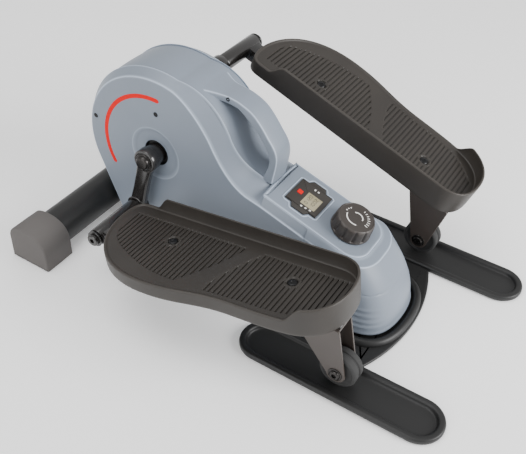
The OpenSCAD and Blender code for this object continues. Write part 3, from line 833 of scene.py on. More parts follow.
@dataclass
class Housing:
    """Side covers, drum band, handle, console deck and tail.

    Attributes:
        drum_r: Radius of the side faces' round end.
        band_r: Radius of the band's round end.
        opening_r: Radius of the crank opening.
        dish_r: Outer radius of the dish round it.
        dish_depth: Depth of the dish.
        wall: Thickness of the mouldings.
        stripe_r: Radius of the red stripe.
        stripe_w: Width of the red stripe.
        screws: Side screws as (y, z).
        seam_z: Height of the side faces' upper edge at the seam.
        deck_r: Radius of the deck's rear corners.
        lap: Depth by which the edges beside the deck lie under it.
        neck: The handle's foot, where the band narrows, as (y, z).
        neck_x: Half width of the band and the handle there.
        neck_slope: Fall of the band for each millimetre behind it.
        neck_reach: Length of the band's rounded end behind it.
    """

    drum_r: float = 106.0
    band_r: float = 114.0
    opening_r: float = 18.0
    dish_r: float = 37.0
    dish_depth: float = 2.2
    wall: float = 2.2
    stripe_r: float = 80.0
    stripe_w: float = 5.6
    screws: tuple = ((257.0, 161.0), (157.0, 200.0))
    seam_z: float = 108.6
    deck_r: float = 26.0
    lap: float = 1.2
    neck: Point = (20.0, 147.6)
    neck_x: float = 17.0
    neck_slope: float = 0.42
    neck_reach: float = 15.5

    def side_outline(self) -> np.ndarray:
        """The side face's outline as (y, z), from the front foot over the drum to the seam."""
        p, r = PLAN, self.drum_r
        drum = arc(p.crank, r, -23, 104, 70)
        root, front = (20, 132.2), (p.deck_front, 127.8)
        return chain(
            line((220, p.foot_z), drum[0], 20),
            drum,
            bezier(drum[-1], (113, 238), (85, 206), (73, 183), 30),
            bezier((73, 183), (62, 164), (45, 138.5), root, 26),
            line(root, front, 16),
            line(front, (p.seam_y, self.seam_z), 24),
        )

    def band_path(self) -> np.ndarray:
        """The band's line as (y, z), from the front foot over the drum to the handle's foot."""
        p, r = PLAN, self.band_r
        drum = arc(p.crank, r, -23, 105, 70)
        return chain(
            line((224, p.foot_z), drum[0], 20),
            drum,
            bezier(drum[-1], (100, 251), (70, 232), (58, 199), 30),
            bezier((58, 199), (51, 177), (39, 154), self.neck, 26),
        )

    def band_half(self, y: np.ndarray, z: np.ndarray) -> np.ndarray:
        """Half width of the band: full over the drum, narrowing to the handle's foot."""
        share = smooth((y - self.neck[0]) / 48) * (z > 100) + (z <= 100)
        return self.neck_x + (PLAN.band_x - self.neck_x) * share

    def inner_edge(self) -> np.ndarray:
        """Inner edge of a side cover in space, in step with the side outline."""
        p = PLAN
        band = self.band_path()
        half = self.band_half(band[:, 0], band[:, 1])
        over = np.column_stack([-half, band])
        neck_y, neck_z = self.neck
        turn = np.radians(np.linspace(180, 270, 10))
        bend = np.column_stack(
            [self.neck_x * np.cos(turn), neck_y + self.neck_reach * np.sin(turn), np.zeros(10)]
        )
        behind = neck_y - bend[:, 1]
        bend[:, 2] = neck_z - behind * self.neck_slope - self.lap * smooth(behind / 14)
        corner = np.array([-p.deck_x, p.deck_front, p.deck_z(p.deck_front) - self.lap])
        step = np.linspace(bend[-1], corner, 7)
        rear = np.array([-p.deck_x, p.seam_y, p.deck_z(p.seam_y) - self.lap])
        return np.vstack([over, bend[1:], step[1:], np.linspace(corner, rear, 24)[1:]])

    def side_cover(self) -> Skin:
        """The left cover: a polar grid round the crank, dished at the crank, folded at its rim.

        Each column runs from the crank opening out to the side outline, then along a straight
        fold to the inner edge, with small round corners at both ends of the fold.
        """
        p = PLAN
        outline = self.side_outline()
        inner = self.inner_edge()
        corner = len(outline) - 1
        foot = line(outline[-1], (p.seam_y, p.foot_z), 14)[1:]
        base = line(foot[-1], outline[0], 24)[1:-1]
        lower = np.vstack([foot, base])
        outer = np.vstack([outline, lower])
        deep = np.column_stack([np.full(len(lower), -p.side_x + 5), lower])
        fold = np.vstack([inner, deep])
        away = outer - np.array(p.crank)
        unit = away / np.linalg.norm(away, axis=1)[:, None]

        def circle(radius: float, x: float) -> np.ndarray:
            """A ring of the dish."""
            at = np.array(p.crank) + unit * radius
            return np.column_stack([np.full(len(at), x), at])

        def rim(depth: float, x: float) -> np.ndarray:
            """A ring along the side outline."""
            moved = inset(outer, depth)
            moved[outer[:, 0] <= p.seam_y + 0.01, 0] = p.seam_y
            moved[corner, 1] = outer[corner, 1] - depth * math.hypot(1, p.deck_slope)
            return np.column_stack([np.full(len(outer), x), moved])

        face = -p.side_x
        dish = face + self.dish_depth
        rows = [
            circle(self.opening_r, dish + 2.5), circle(self.opening_r, dish + 0.5),
            circle(self.opening_r + 0.6, dish), circle(31, dish), circle(32.5, dish - 0.15),
            circle(36, face + 0.25), circle(self.dish_r, face), circle(38.4, face),
        ]
        # These tones paint highlights on the dish's rims, the face's rounded rim and the fold's
        # edges.
        tones = [0, 0.2, 0.25, 0, 0, 0.25, 0.5, 0]
        flat = rim(3.2, face)
        for share in (0.25, 0.5, 0.75):
            rows.append(rows[7] * (1 - share) + flat * share)
            tones.append(0)
        rows += [flat, rim(1.9, face), rim(0.9, face + 0.12), rim(0.25, face + 0.6)]
        tones += [0, 0.1, 0.8, 1.0]
        edge = rim(0, face + 1.4)
        for share, tone in ((0, 0.35), (0.12, 0), (0.35, 0), (0.65, 0), (0.88, 0), (0.95, 0.3)):
            rows.append(edge * (1 - share) + fold * share)
            tones.append(tone)
        tuck = fold + np.array([0.5, 0, -1.6])
        tuck[:, 1:] = fold[:, 1:] + (edge - fold)[:, 1:] * 0.02 - unit * 1.4
        rows += [fold, tuck]
        tones += [1.0, 0.2]
        return grid(np.array(rows), caps=(False, False), tone=tones)

    def band(self) -> Skin:
        """The band over the drum: a crowned section that narrows to the handle's foot."""
        path = self.band_path()
        neck_y, neck_z = self.neck
        fall = np.linspace(0, 15, 10) * self.neck_slope
        tail = np.column_stack([np.linspace(neck_y, neck_y - 15, 10), neck_z - fall])
        path = np.vstack([path, tail[1:]])
        y, z = path.T
        half = self.band_half(y, z) - 0.35
        end = np.clip((neck_y - y) / self.neck_reach, 0, 1) * (z > 100)
        half = half * np.sqrt(np.clip(1 - end**2, 0.0008, 1))
        along = np.gradient(path, axis=0)
        along /= np.linalg.norm(along, axis=1)[:, None]
        out = np.stack([along[:, 1], -along[:, 0]], 1)
        margin = np.array([0.95, 0.985, 1, 1])
        v = np.concatenate([-margin[::-1], np.linspace(-0.88, 0.88, 15), margin])
        drop = np.where(np.abs(v) > 0.97, 0.5, 0.1) + 1.3 * v**2
        drop[[0, -1]] += 2.2
        drop[[1, -2]] += 0.4
        rows = np.empty((len(path), len(v), 3))
        rows[..., 0] = half[:, None] * v
        rows[..., 1:] = path[:, None] - out[:, None] * drop[:, None]
        skin = grid(rows, closed=False, caps=(False, False))
        # Painted highlight along the band's rounded edges.
        tone = np.zeros(len(v))
        tone[[1, -2]], tone[[2, -3]] = 0.8, 0.5
        skin.tone = np.tile(tone, len(path))
        return skin

    def handle(self) -> Skin:
        """The carry handle: a crowned strap between an outer and an inner line.

        At each place along it the section is a square-cornered oval, |x/w|^p + |n/h|^p = 1,
        whose half width flares at the root and whose upper side is crowned.
        """
        count, around = 72, 64
        outer = spline(
            [(118, 247.5), (105, 244.6), (95, 242.6), (83, 240.6), (68, 239.4), (53, 236),
             (35, 227), (16.5, 206), (1.5, 181), (5, 142)], count)
        inner = spline(
            [(116, 238), (103, 236), (93, 234), (81, 232), (67, 230.5), (54.5, 227),
             (37, 212), (21, 193.5), (11.6, 172), (19, 144)], count)
        s = np.linspace(0, 1, count)
        half = self.neck_x + 15 * (1 - smooth(s / 0.42)) + 1.5 * smooth((s - 0.86) / 0.14)
        angle = np.linspace(0, TAU, around, endpoint=False)
        power = 0.24
        cx = np.sign(np.cos(angle)) * np.abs(np.cos(angle)) ** power
        cn = np.sign(np.sin(angle)) * np.abs(np.sin(angle)) ** power
        crown = 1.5 * (1 - cx**2) * np.clip(cn, 0, 1)
        middle = (outer + inner) / 2
        thick = np.linalg.norm(outer - inner, axis=1) / 2
        up = (outer - inner) / (2 * thick[:, None])
        rows = np.empty((count, around, 3))
        rows[..., 0] = half[:, None] * cx
        lift = thick[:, None] * cn + crown
        rows[..., 1:] = middle[:, None] + up[:, None] * lift[..., None]
        skin = grid(rows)
        # Painted highlight along the strap's two upper corners.
        corner = np.exp(-(((np.abs(np.tan(angle)) - 1) / 0.35) ** 2)) * (np.sin(angle) > 0)
        skin.tone = np.tile(corner * 0.9, count)
        return skin

    def deck(self) -> Skin:
        """The console deck: a rounded panel on the sloping plane, with a soft edge."""
        p = PLAN
        run = (p.deck_front - p.deck_rear) / math.cos(p.tilt)
        x, r, ahead = p.deck_x, self.deck_r, 2.4
        outline = np.concatenate([
            line((x - 1, ahead), (-x + 1, ahead), 30)[:-1],
            arc((-x + 3, ahead - 3), 3, 90, 180, 5),
            arc((-x + r, -run + r), r, 180, 270, 14),
            arc((x - r, -run + r), r, 270, 360, 14),
            arc((x - 3, ahead - 3), 3, 0, 90, 5)[:-1],
        ])
        outline = even(outline, 160, closed=True)
        skin = stack(
            outline,
            [(0.6, -3.0), (0.1, -2.6), (0.1, -0.9), (0.5, -0.25), (1.3, 0), (3, 0), (6, 0)],
            tone=[0, 0, 0.4, 1, 0.5, 0, 0],
        )
        return standing(skin, p.deck_front, p.deck_front_z, p.tilt)

    def tail(self) -> Skin:
        """The tail: lofted from the deck's edge over a rounded shoulder and out to the foot.

        Columns run round the rear from the left seam to the right one. Rows go down from the
        deck; the wall bows out between the shoulder and the foot, with ribs at its rear corners
        and one thin groove all the way round.
        """
        p = PLAN
        count = 121
        u = np.linspace(-1, 1, count)
        centre = np.array([0, -100.0])
        tuck = 1.5
        corner_y = self.deck_r * math.cos(p.tilt)
        top = round_rear((tuck - p.deck_x, p.seam_y), p.deck_x - tuck, p.deck_rear + tuck,
                         corner_y - tuck, self.deck_r - tuck, ROUND, count)
        top3 = np.column_stack([top, p.deck_z(top[:, 1]) - 2.6])
        rim = round_rear((-p.deck_x, p.seam_y), p.deck_x, p.deck_rear, corner_y, self.deck_r,
                         ROUND, count)
        rim3 = np.column_stack([rim, p.deck_z(rim[:, 1]) - self.lap])
        shoulder = round_rear((-47.6, p.seam_y), 47.6, -146.5, 32, 40, 0.6, count)
        # Beside the deck the shoulder runs on from the side covers, and it dips at the rear.
        side_z = self.seam_z + p.deck_slope * (shoulder[:, 1] - p.seam_y)
        shoulder3 = np.column_stack([shoulder, side_z + 9.5 * smooth((-75 - shoulder[:, 1]) / 60)])
        foot = round_rear((-48, p.seam_y), 62, -185.6, 46, 62, 0.68, count)
        foot3 = np.column_stack([foot, np.full(count, p.foot_z)])
        rows, tones = [top3, rim3], [0, 0.6]
        for share in (0.06, 0.3, 0.6, 0.86, 0.95):
            rows.append(rim3 * (1 - share) + shoulder3 * share)
            tones.append(0.3 if share in (0.06, 0.95) else 0)
        rows.append(shoulder3)
        tones.append(1.0)
        drop = np.concatenate([[0.015, 0.03], np.linspace(0.06, 0.98, 70), [1.0]])
        for t in drop:
            wall = shoulder3 * (1 - t) + foot3 * t
            bow = 9.0 * math.sin(math.pi * min(1, t * 1.05)) ** 0.9 if t < 0.95 else 0.0
            wall[:, 1] -= bow * smooth((-90 - wall[:, 1]) / 60)
            height = wall[:, 2]
            groove = np.exp(-(((height - 62 - 8 * np.abs(u) ** 2) / 0.7) ** 2)) * 0.8
            corner = np.exp(-(((np.abs(u) - 0.5) / 0.17) ** 2))
            low = np.clip((50 - height) / 6, 0, 1) * np.clip((height - 16) / 4, 0, 1)
            ribs = 1.3 * (0.5 + 0.5 * np.cos((height - 20) / 8.2 * TAU)) * corner * low
            way = wall[:, :2] - centre
            way /= np.linalg.norm(way, axis=1)[:, None]
            wall[:, :2] += way * ((ribs - groove) * smooth((-70 - wall[:, 1]) / 20))[:, None]
            wall[:, 1] = np.maximum(wall[:, 1], -186.5)
            rows.append(wall)
            tones.append(0.0)
        return grid(np.array(rows), closed=False, caps=(False, False), tone=tones)

    def stripe(self) -> Skin:
        """The red stripe: a thin flat arc about the crank, with round ends."""
        angle = np.radians(np.linspace(-32, 97, 90))
        half = self.stripe_w / 2
        v = np.linspace(-1, 1, 7)
        end = np.clip(np.minimum(angle - angle[0], angle[-1] - angle) * self.stripe_r / half, 0, 1)
        width = half * np.sqrt(np.clip(1 - (1 - end) ** 2, 0.01, 1))
        radius = self.stripe_r + width[:, None] * v
        outer = np.empty((len(angle), len(v), 3))
        outer[..., 0] = -PLAN.side_x - 0.12
        outer[..., 1] = PLAN.crank[0] + radius * np.cos(angle)[:, None]
        outer[..., 2] = PLAN.crank[1] + radius * np.sin(angle)[:, None]
        base = outer.copy()
        base[..., 0] = -PLAN.side_x + 0.2
        return grid(np.concatenate([outer, base[:, ::-1]], axis=1))

    def screw(self, centre: Point) -> Skin:
        """A pan head sunk in its hole, with a cross recess shown as a dimple."""
        face = -PLAN.side_x
        head = turned(
            [(face + 5, 1.8), (face + 1.2, 1.8), (face + 1.2, 3.4), (face - 0.2, 3.3),
             (face - 0.45, 2.6), (face - 0.5, 1.6), (face - 0.1, 1.1), (face - 0.1, 0.4)], 32,
        )
        return along_x(head, centre)

    def collar(self, centre: Point, radius: float) -> Skin:
        """The rim of a screw hole, a thin ring just proud of the face."""
        face = -PLAN.side_x
        ring = ring_of([(face - 0.25, radius), (face - 0.25, radius + 0.7),
                        (face + 1.0, radius + 1.1), (face + 1.0, radius)], 40)
        return along_x(ring, centre)

    def build(self) -> None:
        """Makes and dresses every piece of the housing."""
        cover = self.side_cover()
        stripe = self.stripe()
        heads = joined(self.screw(at) for at in self.screws)
        wells = joined(self.collar(at, 3.4) for at in self.screws)
        for side in Side:
            place(f"side_cover_{side.word}_moulding", side.of_left(cover), Look.HOUSING, "base",
                  (f"side_cover_{side.word}",), 50, wall=self.wall)
            place(f"side_stripe_{side.word}", side.of_left(stripe), Look.STRIPE, "base")
            place(f"side_screws_{side.word}", side.of_left(heads), Look.SCREW, "base",
                  ("cover_screws",))
            place(f"screw_wells_{side.word}", side.of_left(wells), Look.HOUSING, "base")
        place("drum_band", self.band(), Look.HOUSING, "base", ("drum_cover",), 50, wall=self.wall)
        place("handle_grip", self.handle(), Look.HOUSING, "base", ("carry_handle",), 60)
        root = turned([(1.5, 2.6), (-0.2, 2.6), (-0.5, 2.2), (-0.2, 1.2), (0.2, 0.6)], 32)
        place("handle_screw", along_x(root, (72, 237), -17.0), Look.SCREW, "base")
        place("deck_panel", self.deck(), Look.HOUSING, "base", ("console_deck",), 50)
        place("tail_moulding", self.tail(), Look.HOUSING, "base", ("tail_cover",), 50,
              wall=self.wall)


# ---------------------------------------------------------------- console


@dataclass
class Console:
    """Display and tension knob on the sloping deck.

    Attributes:
        display_y: Place of the display's middle.
        lcd: Window's centre and half sizes on the deck.
        button: Button's centre on the deck.
        knob_y: Place of the knob.
        knob_r: Radius of the knob's skirt.
        knob_h: Height of the knob above the deck.
    """

    display_y: float = -38.0
    lcd: tuple = (-4.0, -6.0, 11.4, 10.4)
    button: Point = (-1.0, 13.0)
    knob_y: float = -98.0
    knob_r: float = 26.0
    knob_h: float = 22.0

    def on_display(self, skin: Skin) -> Skin:
        """Puts a shape drawn flat about the display's middle onto the deck."""
        return standing(skin, self.display_y, PLAN.deck_z(self.display_y), PLAN.tilt)

    def on_knob(self, skin: Skin) -> Skin:
        """Puts a shape drawn flat about the knob's axis onto the deck."""
        return standing(skin, self.knob_y, PLAN.deck_z(self.knob_y), PLAN.tilt)

    @staticmethod
    def case_outline(grow: float) -> np.ndarray:
        """The display's outline: a square with a cut-cornered lobe at each side."""
        x, y, lobe, top, slope = 22.0, 22.5, 28.5, 9.0, 4.0
        half = [(x, -y), (x, -top - slope), (lobe, -top), (lobe, top), (x, top + slope), (x, y)]
        points = np.array(half + [(-a, -b) for a, b in half])
        closed = np.vstack([points, points[:1]])
        dense = np.concatenate([line(a, b, 13)[:-1] for a, b in zip(closed[:-1], closed[1:])])
        return inset(dense, -grow)

    def case(self) -> Skin:
        """The display's black bezel, a thin plate with an eased edge."""
        edge = [(0.3, 0.0), (0, 0.5), (0, 1.5), (0.35, 2.05), (0.9, 2.2)]
        return stack(self.case_outline(0), edge, tone=[0, 0, 0, 1, 0.2])

    def surround(self) -> Skin:
        """The raised bead that frames the display on the deck."""
        outer = self.case_outline(2.6)
        bead = [(-1.1, -0.6), (1.1, -0.6), (1.0, 0.2), (0.45, 0.75), (-0.45, 0.75), (-1.0, 0.2)]
        rows = []
        for across, up in bead:
            ring = inset(outer, -across)
            rows.append(np.column_stack([ring, np.full(len(ring), up)]))
        return grid(np.array(rows), caps=(False, False), looped=True,
                    tone=[0, 0, 0.3, 0.9, 0.9, 0.3])

    def window(self) -> Skin:
        """The display's glass."""
        x, y, hx, hy = self.lcd
        pane = stack(rounded_box(hx, hy, 0.8, 5), [(0, 1.2), (0, 2.25), (0.3, 2.4)])
        return pane.moved(x, y, 0)

    def bar(self, x: float, y: float, hx: float, hy: float, top: float = 2.5) -> Skin:
        """A thin printed block on the display."""
        plan = rounded_box(hx, hy, min(hx, hy) * 0.5, 4)
        return stack(plan, [(0, top - 0.4), (0, top)]).moved(x, y, 0)

    def digits(self) -> Skin:
        """Seven-segment digits in two rows, a generic reading."""
        segments = {0: "abcdef", 1: "bc", 2: "abged"}
        places = {
            "a": (0, 2.2, 1.2, 0.28), "g": (0, 0, 1.2, 0.28), "d": (0, -2.2, 1.2, 0.28),
            "f": (-1.4, 1.1, 0.28, 0.9), "b": (1.4, 1.1, 0.28, 0.9),
            "e": (-1.4, -1.1, 0.28, 0.9), "c": (1.4, -1.1, 0.28, 0.9),
        }
        x0, y0 = self.lcd[:2]
        parts = []
        for row, shown in ((4.6, (0, 1, 2, 0)), (-3.4, (1, 0, 0, 2))):
            for k, digit in enumerate(shown):
                for letter in segments[digit]:
                    x, y, hx, hy = places[letter]
                    parts.append(self.bar(x0 - 6.6 + k * 4.4 + x, y0 + row + y, hx, hy, 2.46))
        return joined(parts)

    def icons(self) -> Skin:
        """Small white marks beside the window."""
        small = ((16.4, -4.5), (-19.6, 0.0), (-18.8, -6.0), (-17.8, -12.0))
        return joined([self.bar(16.4, 0.5, 1.4, 1.1)] + [self.bar(*at, 1.1, 1.3) for at in small])

    def knob(self) -> Skin:
        """The knob: rings whose radius dips at each of its flutes, below a domed top.

        The radius at angle a is r - d (0.5 + 0.5 cos 12a)^6 on the skirt.
        """
        count = 240
        angle = np.linspace(0, TAU, count, endpoint=False)
        flute = (0.5 + 0.5 * np.cos(12 * angle)) ** 6
        wide, top = self.knob_r, self.knob_h
        profile = [
            (wide - 1.0, 0.8, 0.0, 0), (wide, 1.6, 0.0, 0.6), (wide, 3.4, 0.0, 0.2),
            (wide - 0.5, 4.2, 1.4, 0), (wide - 0.7, 9, 1.9, 0), (wide - 1.1, 15, 1.9, 0),
            (wide - 1.5, top - 3.2, 1.5, 0.2), (wide - 2.0, top - 1.3, 0.6, 0.9),
            (wide - 3.2, top - 0.2, 0.0, 0.6), (wide - 4.0, top, 0.0, 0),
            (wide - 4.6, top - 0.6, 0.0, 0.4), (8, top - 0.5, 0, 0), (1.0, top - 0.4, 0, 0),
        ]
        rows = np.array([
            np.column_stack([
                (r - d * flute) * np.cos(angle), (r - d * flute) * np.sin(angle),
                np.full(count, z),
            ])
            for r, z, d, _ in profile
        ])
        return grid(rows, tone=[t for *_, t in profile])

    def dial_print(self) -> Skin:
        """White arcs and ticks on the knob's top."""
        def band(radius: float, start: float, end: float, width: float) -> Skin:
            """A flat arc."""
            angle = np.radians(np.linspace(start, end, 40))
            rows = []
            low, top = self.knob_h - 1.0, self.knob_h - 0.2
            for r, z in ((radius - width, low), (radius - width, top),
                         (radius + width, top), (radius + width, low)):
                rows.append(np.column_stack([r * np.cos(angle), r * np.sin(angle),
                                             np.full(40, z)]))
            return grid(np.array(rows).transpose(1, 0, 2))

        parts = [band(12.6, 100, 205, 0.75), band(7.6, -85, 45, 0.75)]
        for k in range(8):
            a = math.radians(-12 - k * 13)
            long = 1.3 + 0.12 * k
            mark = self.bar(0, 0, 0.45, long, self.knob_h - 0.2)
            c, s = math.cos(a - math.pi / 2), math.sin(a - math.pi / 2)
            turn = np.array([[c, s, 0], [-s, c, 0], [0, 0, 1]])
            at = np.array([15.6 * math.cos(a), 15.6 * math.sin(a), 0])
            parts.append(mark.shaped(lambda p, t=turn, o=at: p @ t + o))
        for k in range(3):
            a = math.radians(58 + k * 14)
            parts.append(
                self.bar(15.2 * math.cos(a), 15.2 * math.sin(a), 0.8, 0.8, self.knob_h - 0.2))
        return joined(parts)

    def build(self) -> None:
        """Makes and dresses the display and the knob."""
        place("display_bezel", self.on_display(self.case()), Look.CONSOLE, "base",
              ("display_case",), 40)
        place("display_surround", self.on_display(self.surround()), Look.HOUSING, "base")
        place("display_glass", self.on_display(self.window()), Look.GLASS, "base",
              ("lcd_window",))
        place("display_digits", self.on_display(self.digits()), Look.SEGMENT, "base")
        place("display_icons", self.on_display(self.icons()), Look.PRINT, "base")
        cap = stack(rounded_box(3.3, 3.3, 0.9, 5), [(0, -0.9), (0, 2.9), (0.35, 3.2)])
        cap = cap.moved(*self.button, 0)
        place("button_cap", self.on_display(cap), Look.RED, "button", ("display_button",))
        place("knob_body", self.on_knob(self.knob()), Look.KNOB, "knob", ("resistance_knob",), 40)
        place("knob_print", self.on_knob(self.dial_print()), Look.PRINT, "knob")


# ---------------------------------------------------------------- base


@dataclass
class Base:
    """Stabiliser, end caps, tracks and pan.

    Attributes:
        track_x: Distance of a track's centre line from the middle.
        track_r: Half the width of a track.
        track_rear: Rear end of a track.
        track_front: Front end of a track.
        plate_z: Underside of the pressed plates.
        floor_z: Running surface.
        rim_z: Top of a track's rim.
        tube_y: Stabiliser's place.
        tube_z: Height of its axis.
        tube_r: Its radius.
        cap_x: Half the width over the end caps.
    """

    track_x: float = 131.0
    track_r: float = 31.0
    track_rear: float = -296.5
    track_front: float = -32.5
    plate_z: float = 1.2
    floor_z: float = 3.2
    rim_z: float = 8.5
    tube_y: float = 265.5
    tube_z: float = 27.0
    tube_r: float = 25.0
    cap_x: float = 189.0

    def track(self, side: int) -> Skin:
        """A pressed track: a long oval with a rolled rim round a sunk running surface."""
        r = self.track_r
        outline = np.concatenate([
            arc((0, self.track_front - r), r, 0, 180, 40),
            arc((0, self.track_rear + r), r, 180, 360, 40),
        ])
        outline = even(outline, 200, closed=True)
        top = self.rim_z
        skin = stack(
            outline,
            [(1.4, self.plate_z), (0.4, 1.7), (0, 3.0), (0, 5.6), (0.5, 7.3), (1.6, 8.2),
             (3.0, top), (6.2, top), (7.6, 8.1), (8.5, 7.2), (9.0, 6.2), (9.5, 4.6), (10.3, 3.6),
             (11.8, self.floor_z), (15, self.floor_z)],
            tone=[0, 0, 0, 0, 0.3, 0.6, 0.5, 0.5, 0.6, 0.3, 0, 0, 0, 0, 0],
        )
        return skin.moved(side * self.track_x, 0, 0)

    def pan(self) -> Skin:
        """The pan between the tracks: a plate whose rear edge is one long arc."""
        radius, rear = 235.0, -201.0
        inner = self.track_x - self.track_r + 1
        centre = rear + radius
        half = math.degrees(math.asin(inner / radius))
        outline = np.concatenate([
            arc((0, centre), radius, 270 - half, 270 + half, 60),
            line((inner, -60), (-inner, -60), 30),
        ])
        outline = even(outline, 220, closed=True)
        return stack(
            outline,
            [(0.8, self.plate_z), (0, 1.7), (0, 3.4), (0.5, 4.4), (1.6, 4.8), (4, 4.6), (9, 4.2)],
            tone=[0, 0, 0.3, 0.7, 0.3, 0, 0],
        )

    def lip(self) -> Skin:
        """The rolled lip round the tail: a half-round bead swept round the tail's foot."""
        both = round_rear((-69, -72), 69, -193.2, 50, 69, 0.68, 131)
        path = np.column_stack([both, np.full(len(both), 3.4)])
        angle = np.radians(np.linspace(0, 360, 28, endpoint=False))
        section = np.column_stack([6.2 * np.cos(angle), np.where(
            np.sin(angle) > 0, 7.6 * np.sin(angle), 1.4 * np.sin(angle))])
        along = np.gradient(path, axis=0)
        sideways = np.column_stack([along[:, 1], -along[:, 0], np.zeros(len(path))])
        skin = sweep(path, section, sideways)
        skin.points[:, 2] = np.clip(skin.points[:, 2], 1.4, 11.6)
        return skin

    def cap(self) -> Skin:
        """The left end cap: a D section swept along x, with its outer end eased."""
        long = 62.0
        y0 = self.tube_y - long / 2
        y1 = y0 + long
        outline = np.concatenate([
            line((y0, 0.3), (y1, 0.3), 22),
            line((y1, 1), (y1, 36), 12),
            bezier((y1, 36), (y1 - 1, 48), (y1 - 12, 54), (y1 - 26, 54), 18),
            bezier((y1 - 26, 54), (y0 + 14, 54), (y0, 44), (y0, 22), 26),
        ])
        outline = even(outline, 150, closed=True)
        x1 = self.cap_x
        steps = [(2.2, x1), (1.1, x1 - 0.25), (0.3, x1 - 1.2), (0, x1 - 2.6), (0, x1 - 24),
                 (0.4, x1 - 46), (1.2, x1 - 47), (4.5, x1 - 47.2)]
        rows = np.array([
            np.column_stack([np.full(len(outline), -x), inset(outline, depth)])
            for depth, x in steps
        ])
        skin = grid(rows, tone=[0.1, 0.6, 0.8, 0.1, 0, 0, 0.4, 0])
        skin.points[:, 2] = np.maximum(skin.points[:, 2], 0.0)
        return skin

    def build(self) -> None:
        """Makes and dresses the base."""
        cap = self.cap()
        for side in Side:
            word = side.word
            place(f"track_{word}_pressing", self.track(side.value), Look.TRACK, "base",
                  (f"track_{word}",), 60)
            place(f"end_cap_{word}_rubber", side.of_left(cap), Look.FOOT, "base",
                  (f"end_cap_{word}",), 60)
        place("pan_plate", self.pan(), Look.TRACK, "base", ("base_pan",), 60)
        place("pan_lip", self.lip(), Look.TRACK, "base")
        reach = self.cap_x - 12
        tube = turned([(-reach, self.tube_r - 0.5), (-reach + 0.5, self.tube_r),
                       (reach - 0.5, self.tube_r), (reach, self.tube_r - 0.5)], 96)
        place("stabiliser_pipe", along_x(tube, (self.tube_y, self.tube_z)), Look.TRACK, "base",
              ("stabiliser_tube",), 40)


# ---------------------------------------------------------------- cranks


